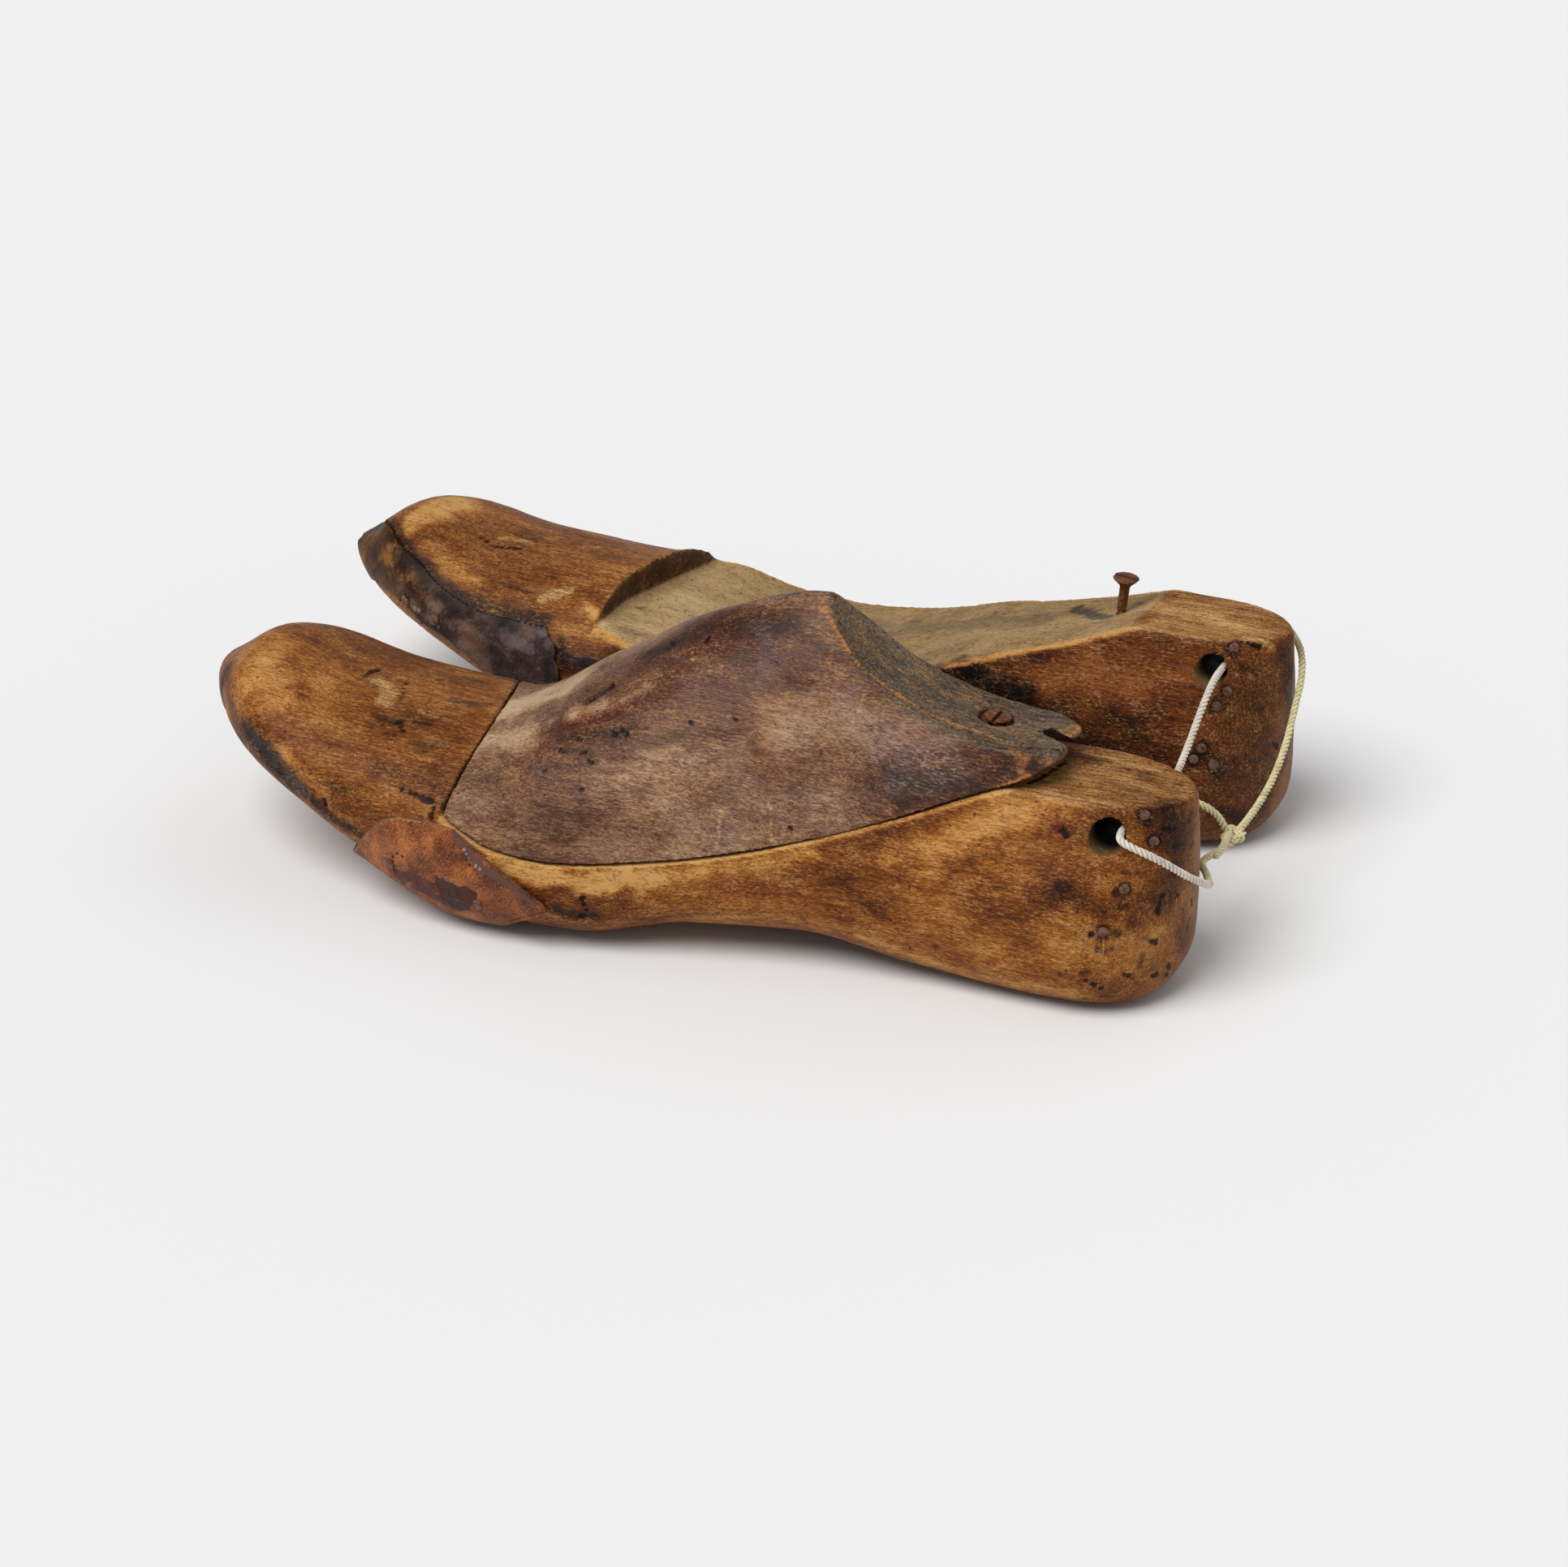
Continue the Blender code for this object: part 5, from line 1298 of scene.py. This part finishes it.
def leather_places(last, places, thickness):
    out = []
    for x, z in places:
        point, direction = pin_place(last, x, z, 1.0)
        out.append((point + direction * (thickness + 1.2 * GAP + 0.6 * TACK_HEAD_DEPTH), direction))
    return out


# Stains and dents round the nails, and how deep pits, chips and worn edges go
STAIN_RADIUS = 0.0030
STAIN_STRENGTH = 0.95
NAIL_DENT = 0.12 * MM
PIT_DEPTH = 0.00018
CHIP_DEPTH = 0.0005
EDGE_WEAR = 0.0002


def spots(skin, places):
    """Stains and dents round the nails."""
    for number, (point, _) in enumerate(places):
        near = np.linalg.norm(skin.points - point, axis=1)
        near = near * (1 + 0.30 * random_waves(skin.points, 0.0022, 60 + number, 2))
        skin.mark("stain", STAIN_STRENGTH * (1 - ease(near, 0.5 * STAIN_RADIUS, STAIN_RADIUS)))
        skin.depth -= NAIL_DENT * (1 - ease(near, 0.5 * STAIN_RADIUS, 0.9 * STAIN_RADIUS))


def weather(skin, last, drawn, wear, least, nails=(), covered=()):
    """Dents, wear and stains, all over and where the photograph shows them, with the painted light and shade
    of the drawn light and shade rows.
    """
    p = skin.points
    edge = skin.masks["edge"]
    skin.clear("dark", "pale", "red", "grey", "deep", "bore_shade")
    skin.tone = skin.tone + 0.30 * random_waves(p, 0.045, 2, 2)
    skin.depth = 0.00020 * random_waves(p, (0.030, 0.014, 0.014), 3, 2)
    skin.depth += 0.00005 * random_waves(p, 0.0035, 4)
    skin.depth -= PIT_DEPTH * ease(random_waves(p, 0.0034, 5, 2), 0.62, 0.95)
    chips = ease(random_waves(p, 0.0050, 6), 0.30, 0.75) * edge
    skin.depth -= wear * (CHIP_DEPTH * chips + EDGE_WEAR * edge)
    spots(skin, nails)
    paint(skin, drawn, least)
    normals = skin.normals()
    if covered:
        inside = within(p, covered) * ease(normals @ -np.array(FORWARD), -0.10, 0.10)
        skin.depth -= inside * (1 - ease(last.own(p)[0], *SINK_RANGE)) * (TOE_SINK + 0.0002)
    skin.points = p + normals * skin.depth[:, None]


def sides_at(last, x, z):
    """How far across the skin lies on the medial and on the lateral side, at a height."""
    return [last.own(surface(last, x, angle_at(x, z, medial)))[1] for medial in (True, False)]


def round_the_bore(skin, last):
    """Makes the thimble hole truly round, and marks its mouth and the painted shade deep inside it."""
    x, y, z = last.own(skin.points)
    dx, dz = x - (L - BORE_FROM_BACK), z - last.bore_z
    away = np.hypot(dx, dz)
    inside = 1 - ease(away, last.bore_radius + 0.0003, last.bore_radius + 0.0009)
    pull = inside * (last.bore_radius / np.maximum(away, 0.001) - 1)
    forward = np.array([math.cos(last.yaw), math.sin(last.yaw), 0.0])
    skin.points = skin.points + (dx * pull)[:, None] * forward + (dz * pull)[:, None] * np.array([0, 0, 1.0])
    deep = np.abs(np.where(y > 0, *sides_at(last, x, z))) - np.abs(y)
    # Painted shade deep inside the bore, from 0.8 mm in
    skin.masks["bore_shade"] = inside * ease(deep, 0.0008, 0.0080)
    skin.masks["hollow"] = skin.masks["hollow"] * (1 - inside)
    skin.masks["mouth"] = 1 - ease(away, last.bore_radius, last.bore_radius + 0.0005)
    return inside


def body_piece(last, drawn, nails):
    """The wood of one last, worn and stained, with the floor of its seat left as bare wood, painted shade on
    the seat's wall and deep in the bore, and on the rear last also on its near side.
    """
    made = blank(last, last.name + "_last_wood")
    carve(made, [("DIFFERENCE", seat_cutter(last)), ("DIFFERENCE", bore_bar(last))], WOOD_VOXEL)
    skin = Skin(made)
    skin.settle(3, 6)
    bored = round_the_bore(skin, last)
    x, y, z = last.own(skin.points)
    up = skin.normals()[:, 2]
    from_wall = x - (last.wall(y) + math.tan(WALL_LEAN) * (z - WALL_FOOT_Z))
    above = z - (last.floor(x) + last.floor_tilt * y)
    flat = ease(z, last.flat_z - 0.0008, last.flat_z - 0.0003) * ease(up, 0.8, 0.95)
    on_floor = ease(from_wall, -0.0004, 0.0004) * (1 - ease(np.abs(above), 0.0009, 0.0016))
    on_floor *= ease(up, 0.3, 0.7)
    on_wall = (1 - ease(np.abs(from_wall), 0.0008, 0.0014)) * ease(above, 0.0, 0.0012)
    # Painted shade: the seat's wall is coloured dark, as it stands in shadow
    skin.masks["wall"] = on_wall * (1 - ease(up, 0.5, 0.8))
    medial, lateral = sides_at(last, x, z)
    rim = on_floor * (1 - ease(np.where(y > 0, medial - y, y - lateral), 0.0010, 0.0026))
    on_floor = on_floor - rim
    skin.tone = 0.8 * rim
    outside = (1 - on_floor) * (1 - flat)
    if last is REAR:
        # The rear last's near side, which faces the front last, is darkened: darker old varnish and painted
        # shade from the front last
        near = ease(-last.medial * y, 0.003, 0.014) * outside * ease(-above, -0.0005, 0.0020)
        skin.masks["deep"] = near * (0.62 + 0.38 * (1 - ease(x, 0.165, 0.215))) * ease(x, 0.085, 0.100)
        skin.tone += -0.25 * on_floor * ease(x, 0.14, 0.22)
    else:
        beyond = ease(last.medial * y, 0.003, 0.014) * outside * ease(-above, 0.0, 0.0035)
        old = 0.5 + 0.5 * random_waves(skin.points, 0.030, 9)
        skin.masks["deep"] = beyond * 0.8 * ease(old, 0.35, 0.75)
    weather(skin, last, drawn, 1.0, WOOD_LEAST, nails, BUILDUP_OUTLINE if last is REAR else ())
    skin.masks["bare"] = on_floor * (1 - flat) * (1 - bored)
    skin.masks["sawn"] = flat
    skin.finish()
    return made


def block_piece(drawn, head, axis):
    """The instep block: darker wood with a hollowed ribbon on top and a split tail."""
    made = blank(FRONT, "front_scoop_block")
    recess = [head + along * axis + RECESS_SHIFT for along in (-RECESS_DEPTH, 0.03)]
    carve(made, [("INTERSECT", block_cutter(FRONT)),
                 ("DIFFERENCE", frustum("tail_cutter", TAIL_CUT)),
                 ("DIFFERENCE", round_bar("recess_cutter", *recess, RECESS_RADIUS)),
                 ("DIFFERENCE", round_bar("way_cutter", head - 0.04 * axis, head, WAY_RADIUS))], BLOCK_VOXEL)
    skin = Skin(made)
    skin.settle(2, 7)
    x, y, z = FRONT.own(skin.points)
    up = skin.normals()[:, 2]
    on_top = ease(x, RIDGE_END - 0.002, RIDGE_END) * (1 - ease(np.abs(z - ribbon_height(x)), 0.0009, 0.0016))
    skin.tone = np.zeros(len(x))
    weather(skin, FRONT, drawn, 0.6, BLOCK_LEAST)
    skin.masks["sawn"] = on_top * ease(up, 0.1, 0.3)
    skin.finish()
    return made


# The woods' tones, each from the dirtiest to the most rubbed; the seat wall's tones, darkest to lightest, are
# painted shade
TONE_STEPS = (0.27, 0.37, 0.455, 0.54, 0.63, 0.74)
WORN_TONES = [(38, 17, 6), (70, 32, 9), (102, 52, 14), (136, 78, 27), (171, 114, 50), (202, 154, 88)]
DEEP_TONES = [(12, 6, 4), (28, 12, 5), (54, 23, 5), (88, 40, 10), (124, 62, 20), (160, 100, 50)]
SEAT_TONES = [(74, 56, 36), (112, 88, 58), (142, 115, 78), (168, 139, 97), (188, 160, 116), (206, 181, 140)]
FLAT_TONES = [(60, 34, 14), (96, 58, 26), (130, 84, 42), (156, 108, 60), (182, 138, 84), (206, 168, 116)]
BLOCK_TONES = [(44, 20, 12), (70, 38, 25), (96, 60, 41), (126, 90, 66), (162, 130, 100), (196, 168, 134)]
RIBBON_TONES = [(40, 30, 22), (62, 50, 38), (84, 68, 52), (104, 86, 66), (130, 108, 78), (164, 138, 92)]
PALE_TONES = [(92, 58, 26), (122, 84, 44), (152, 112, 64), (178, 138, 86), (198, 162, 110), (214, 184, 138)]
GREY_TONES = [(18, 16, 15), (34, 30, 27), (50, 46, 42), (68, 64, 60), (90, 87, 85), (116, 112, 112)]
SHADED_WALL_TONES = [(22, 12, 4), (36, 20, 6), (52, 30, 9), (70, 42, 13), (92, 57, 20), (124, 80, 34)]
MOUTH_TONES = [(40, 32, 17), (62, 50, 28), (86, 70, 40), (110, 90, 54), (136, 114, 70), (160, 138, 90)]
TAIL_TONES = [(84, 48, 20), (128, 80, 32), (164, 112, 50), (190, 140, 70), (208, 162, 92), (224, 184, 120)]


def tones(s, value, colours):
    return s.ramp(value, TONE_STEPS, colours)


def weighed(parts):
    """One half, plus each part's distance from one half times its weight."""
    value = 0.5
    for part, weight in parts:
        value = (part - 0.5) * weight + value
    return value


def wood_finish(name, body_tones, bare_tones, sawn_tones, rubbed, gloss, shine, scratched=0.0):
    """Old beech: tones by grain and wear, under the masks that the skin carries, some of which paint light
    and shade.
    """
    s = Shader(name)
    place = s.warped(0.0022, 60.0)
    broad = s.noise(s.stretched((15, 30, 30)), 1.0, 3.0, 0.5, 0.8)
    blotch = s.noise(s.stretched((95, 240, 240), place), 1.0, 5.0, 0.65, 0.4)
    streak = s.noise(s.stretched((75, 1500, 1500), place), 1.0, 4.0, 0.65)
    fine = s.noise(s.stretched((700, 3400, 3400), place), 1.0, 3.0, 0.65)
    grit = s.noise(s.place, 1400.0, 4.0, 0.7)
    value = weighed([(broad, 0.34), (blotch, 0.26), (streak, 0.34), (fine, 0.50),
                     (s.attribute("tone"), 0.46)])
    coarse = weighed([(value, 1.0), (grit, 0.5), (streak, 0.4)])
    mottle = weighed([(blotch, 0.6), (fine, 0.7), (grit, 0.6)])
    body = tones(s, value, body_tones)
    # deep: dark old varnish, and on the rear last's near side also painted shade
    body = s.mix(body, tones(s, value, DEEP_TONES), s.ragged("deep", blotch, 1.1, 0.36))
    # Painted shade on the seat's wall
    body = s.mix(body, tones(s, value, SHADED_WALL_TONES), s.attribute("wall"))
    body = s.mix(body, tones(s, coarse, sawn_tones), s.attribute("sawn"))
    body = s.mix(body, tones(s, value, bare_tones), s.attribute("bare"))
    # Short dark rays of the grain, and small holes and specks of dirt
    rays = s.dots(s.stretched((1.0, 6.0, 6.0), place), 330.0, 0.30, 0.5)
    body = s.mix(body, linear(44, 22, 10), rays * s.span(blotch, 0.40, 0.60, 0.65, 0.15))
    holes = s.dots(s.warped(0.0006, 900.0), 210.0, 0.105, 0.35)
    specks = s.dots(place, 560.0, 0.20, 0.25)
    body = s.mix(body, linear(24, 14, 9), s.math("MAXIMUM", holes * 0.9, specks * 0.65))
    grime = s.span(s.noise(place, 430.0, 5.0, 0.72), 0.53, 0.68)
    grime = grime * s.span(s.noise(s.place, 75.0, 3.0, 0.6), 0.38, 0.62, 0.25, 0.85)
    body = s.stained(body, (0.34, 0.27, 0.22), grime)
    worn = s.attribute("edge") * s.span(blotch, 0.36, 0.60, 0.25, 1.0)
    body = s.mix(body, rubbed, worn * 0.70)
    # Darker, towards near black, in the concave places
    body = s.mix(body, linear(30, 16, 9), s.attribute("hollow") * 0.75)
    body = s.stained(body, (0.66, 0.40, 0.32), s.ragged("red", mottle, 1.0, 0.40))
    body = s.stained(body, (0.17, 0.12, 0.10), s.ragged("stain", mottle, 1.5, 0.36))
    body = s.mix(body, tones(s, coarse, PALE_TONES), s.ragged("pale", mottle, 2.0, 0.45) * 0.85)
    body = s.mix(body, rubbed, s.ragged("gold", mottle, 1.3, 0.45) * 0.75)
    # Painted sheen: a pale hatch where the lamps' reflection lies on the block
    glance = s.noise(s.stretched((500, 3600, 1500), turn=(0.0, 0.45, 0.30)), 1.0, 3.0, 0.75)
    glance = s.span(glance, 0.46, 0.66, 0.10, 1.0)
    body = s.mix(body, linear(186, 160, 148), s.attribute("sheen") * glance * 0.60)
    body = s.mix(body, rubbed, s.hairlines((2400, 2400, 42), 0.020, 0.75) * s.attribute("scratch"))
    body = s.mix(body, tones(s, coarse, GREY_TONES), s.ragged("grey", mottle, 1.2, 0.30) * 0.85)
    body = s.stained(body, (0.075, 0.055, 0.045), s.ragged("dark", mottle, 1.0, 0.30))
    body = s.mix(body, tones(s, value, MOUTH_TONES), s.attribute("mouth"))
    # Painted shade, near black, deep inside the bore
    body = s.mix(body, linear(6, 4, 3), s.attribute("bore_shade"))
    height = weighed([(streak, 0.9), (fine, 0.6), (grit, 0.3)]) - s.math("MAXIMUM", holes, specks) * 0.6
    if scratched:
        for turn, scale, width in ((1.25, (2600, 60, 900), 0.012), (0.35, (3200, 90, 1400), 0.016)):
            some = s.span(s.noise(s.place, 70.0, 3.0, 0.6), 0.50, 0.66)
            thin = s.hairlines(scale, width, 1.0, (0.3, turn, 0.0)) * some
            body = s.mix(body, linear(186, 168, 160), thin * scratched)
            height = height - thin * 0.3
    rough = s.span(blotch * 0.6 + fine * 0.4, 0.35, 0.65, gloss, gloss + 0.22)
    open_grain = s.math("MAXIMUM", s.attribute("bare"), s.attribute("sawn"))
    rough = s.math("ADD", rough, open_grain * 0.28, True)
    return s.finish(body, rough, s.bump(height, 0.00022, 0.6), Specular_IOR_Level=shine)


def suede_finish():
    s = Shader("rust_suede")
    nap = s.noise(s.place, 2300.0, 4.0, 0.75)
    cloud = s.noise(s.place, 150.0, 4.0, 0.6)
    value = weighed([(nap, 0.95), (cloud, 0.55), (s.attribute("tone"), 0.3)])
    body = s.ramp(value, (0.30, 0.42, 0.54, 0.68),
                  [(56, 25, 11), (102, 50, 22), (148, 82, 37), (192, 118, 60)])
    mottle = cloud * 0.4 + nap * 0.6
    # pale paints a highlight along the patch's upper rim, and glint paints small highlights on the lip; the
    # other labels are the suede's own colours
    for label, colour, most in (("red", (70, 24, 16), 0.85), ("dark", (46, 18, 16), 0.88),
                                ("grey", (92, 60, 48), 0.9), ("pale", (196, 118, 56), 0.7),
                                ("glint", (178, 150, 140), 0.7)):
        body = s.mix(body, linear(*colour), s.ragged(label, mottle, 0.7) * most)
    rough = 0.9 - s.attribute("grey") * 0.45
    return s.finish(body, rough, s.bump(nap, 0.0004, 0.8), Sheen_Weight=0.15, Specular_IOR_Level=0.25)


def leather_finish():
    """Black leather, worn brown towards the toe."""
    s = Shader("black_leather")
    grain = s.noise(s.place, 1100.0, 4.0, 0.65)
    cloud = s.noise(s.warped(0.003, 90.0), 130.0, 5.0, 0.60, 0.5)
    browned = s.span(s.attribute("along") + (cloud - 0.5) * 0.9, 0.22, 0.46, 1.0, 0.0)
    value = weighed([(cloud, 0.70), (grain, 0.40), (s.attribute("tone"), 0.55)])
    brown = s.ramp(value, (0.34, 0.46, 0.56, 0.70),
                   [(20, 12, 7), (50, 29, 12), (84, 50, 19), (134, 90, 42)])
    black = s.ramp(value, (0.34, 0.50, 0.62, 0.74),
                   [(18, 13, 12), (58, 42, 37), (102, 78, 67), (122, 94, 80)])
    body = s.mix(black, brown, browned)
    # grey paints a bluish sheen where the leather is glossy; the other labels are the leather's own colours
    for label, colour, most in (("grey", (112, 98, 98), 0.55), ("pale", (140, 130, 110), 0.7),
                                ("red", (92, 48, 20), 0.8), ("dark", (14, 9, 8), 0.9)):
        body = s.mix(body, linear(*colour), s.ragged(label, cloud, 1.0, 0.25) * most)
    rough = s.span(grain, 0.3, 0.7, 0.40, 0.60)
    return s.finish(body, rough, s.bump(grain + cloud * 1.6, 0.0003, 0.5), Specular_IOR_Level=0.16)


def iron_finish(name, colours, metal):
    s = Shader(name)
    coarse = s.noise(s.place, 800.0, 5.0, 0.7)
    fine = s.noise(s.place, 3600.0, 4.0, 0.7)
    body = s.ramp(coarse * 0.6 + fine * 0.4, (0.34, 0.46, 0.56, 0.68), colours)
    return s.finish(body, s.span(coarse, 0.3, 0.7, 0.5, 0.8), s.bump(fine, 0.00012, 0.8), Metallic=metal,
                    Specular_IOR_Level=0.3)


FLOOR_HALF = 9
FLOOR_Z = -0.0002
# Each lamp's strength, its turn and its spread in degrees
LAMPS = {"key": (2.30, (30, -14, 0), 40), "fill": (0.30, (-50, 35, 0), 70)}
ROOM_LIGHT = 0.34


def studio():
    """A pale floor with the pair's soft shadow, a broad lamp above and a plain bright room."""
    corners = [(x * FLOOR_HALF, y * FLOOR_HALF, FLOOR_Z) for x, y in SQUARE]
    floor = mesh_object("floor", corners, [(0, 1, 2, 3)])
    shader = Shader("floor")
    floor.data.materials.append(shader.finish((*linear(240, 240, 240), 1), 0.9, shader.bump(
        shader.noise(shader.place, 30.0), 0.0001, 0.02), Specular_IOR_Level=0.0))
    for name, (strength, turn, spread) in LAMPS.items():
        data = bpy.data.lights.new(name, "SUN")
        data.energy = strength
        data.angle = math.radians(spread)
        lamp = bpy.data.objects.new(name, data)
        lamp.rotation_euler = tuple(math.radians(v) for v in turn)
        SCENE.collection.objects.link(lamp)
    world = bpy.data.worlds.new("room")
    SCENE.world = world
    world.use_nodes = True
    room = world.node_tree.nodes["Background"].inputs
    room["Color"].default_value = (1, 1, 1, 1)
    room["Strength"].default_value = ROOM_LIGHT


camera()
cord_skin = cord_finish()
fine_path, upper_path, lower_path = [natural_curve(np.array(route) + np.array(SHIFT), CORD_FINE_STEP)
                                     for route in (CORD_ROUTE, UPPER_TAIL, LOWER_TAIL)]
knot = cord_mesh("knot", knot_paths(), cord_skin)
cord = cord_mesh("twisted_cord", [fine_path], cord_skin)
tails = [cord_mesh("tail_upper", [upper_path], cord_skin), cord_mesh("tail_lower", [lower_path], cord_skin)]
for piece, node in zip((cord, knot, *tails), ("cord", "cord_knot", "cord_tail_upper", "cord_tail_lower")):
    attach(piece, "lasts")
    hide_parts(node)
fine_path[::4].tolist() + [fine_path[-1].tolist()]

rust = iron_finish("rusty_iron", [(40, 22, 13), (88, 49, 28), (126, 76, 44), (156, 108, 72)], 0.12)
nail_iron = iron_finish("nail_iron", [(44, 26, 20), (92, 58, 44), (132, 96, 80), (164, 134, 118)], 0.25)
worn = wood_finish("worn_wood", WORN_TONES, SEAT_TONES, FLAT_TONES, linear(206, 148, 76),
                   gloss=0.36, shine=0.14)
for last, drawn, places, node in ((FRONT, FRONT_MARKS, FRONT_NAILS, "front_last_body"),
                                  (REAR, REAR_MARKS, REAR_NAILS, "rear_last_body")):
    nails = nail_places(last, places)
    wood = body_piece(last, drawn, nails)
    wood.data.materials.append(worn)
    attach(wood, "lasts")
    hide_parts(node)
    for number, spot in enumerate(nails, 1):
        pin_piece("%s_nail_%d" % (last.name, number), "%s_heel_nail_%d" % (last.name, number), spot, NAIL,
                  nail_iron, number)

front_spot, rear_spot = screw_place(FRONT, *FRONT_SCREW), screw_place(REAR, *REAR_SCREW)
block = block_piece(BLOCK_MARKS, *front_spot)
block.data.materials.append(wood_finish("block_wood", BLOCK_TONES, TAIL_TONES, RIBBON_TONES,
                                        linear(200, 128, 60), gloss=0.28, shine=0.22, scratched=0.45))
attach(block, "instep_block")
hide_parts("front_instep_block")
screw_piece("front_screw_rusty", "front_block_screw", "front_screw", *front_spot, math.radians(86), rust, 71)
screw_piece("rear_screw_rusty", "rear_block_screw", "rear_screw", *rear_spot, 0.0, rust, 72)

patch = leather_piece("suede_patch", "front_leather_patch", FRONT, PATCH_OUTLINE, (0.048, 0.128),
                      math.radians(42), lambda x: np.full(x.shape, math.radians(80)), PATCH_THICKNESS,
                      PATCH_MARKS, suede_finish(), patch_relief)
buildup = leather_piece("toe_buildup", "rear_leather_buildup", REAR, BUILDUP_OUTLINE, (0.0006, 0.100),
                        math.radians(46), lambda x: np.radians(150 - 60 * ease(x, 0.004, 0.020)),
                        BUILDUP_THICKNESS, BUILDUP_MARKS, leather_finish(), buildup_relief)
for last, label, places, thickness in ((FRONT, "patch", PATCH_TACKS, PATCH_THICKNESS),
                                       (REAR, "buildup", BUILDUP_TACKS, BUILDUP_THICKNESS)):
    for number, spot in enumerate(leather_places(last, places, thickness), 1):
        pin_piece("%s_tack_%d" % (label, number), "%s_%s_tack_%d" % (last.name, label, number), spot, TACK,
                  nail_iron, 80 + number)

studio()
SCENE.view_settings.view_transform = "Standard"
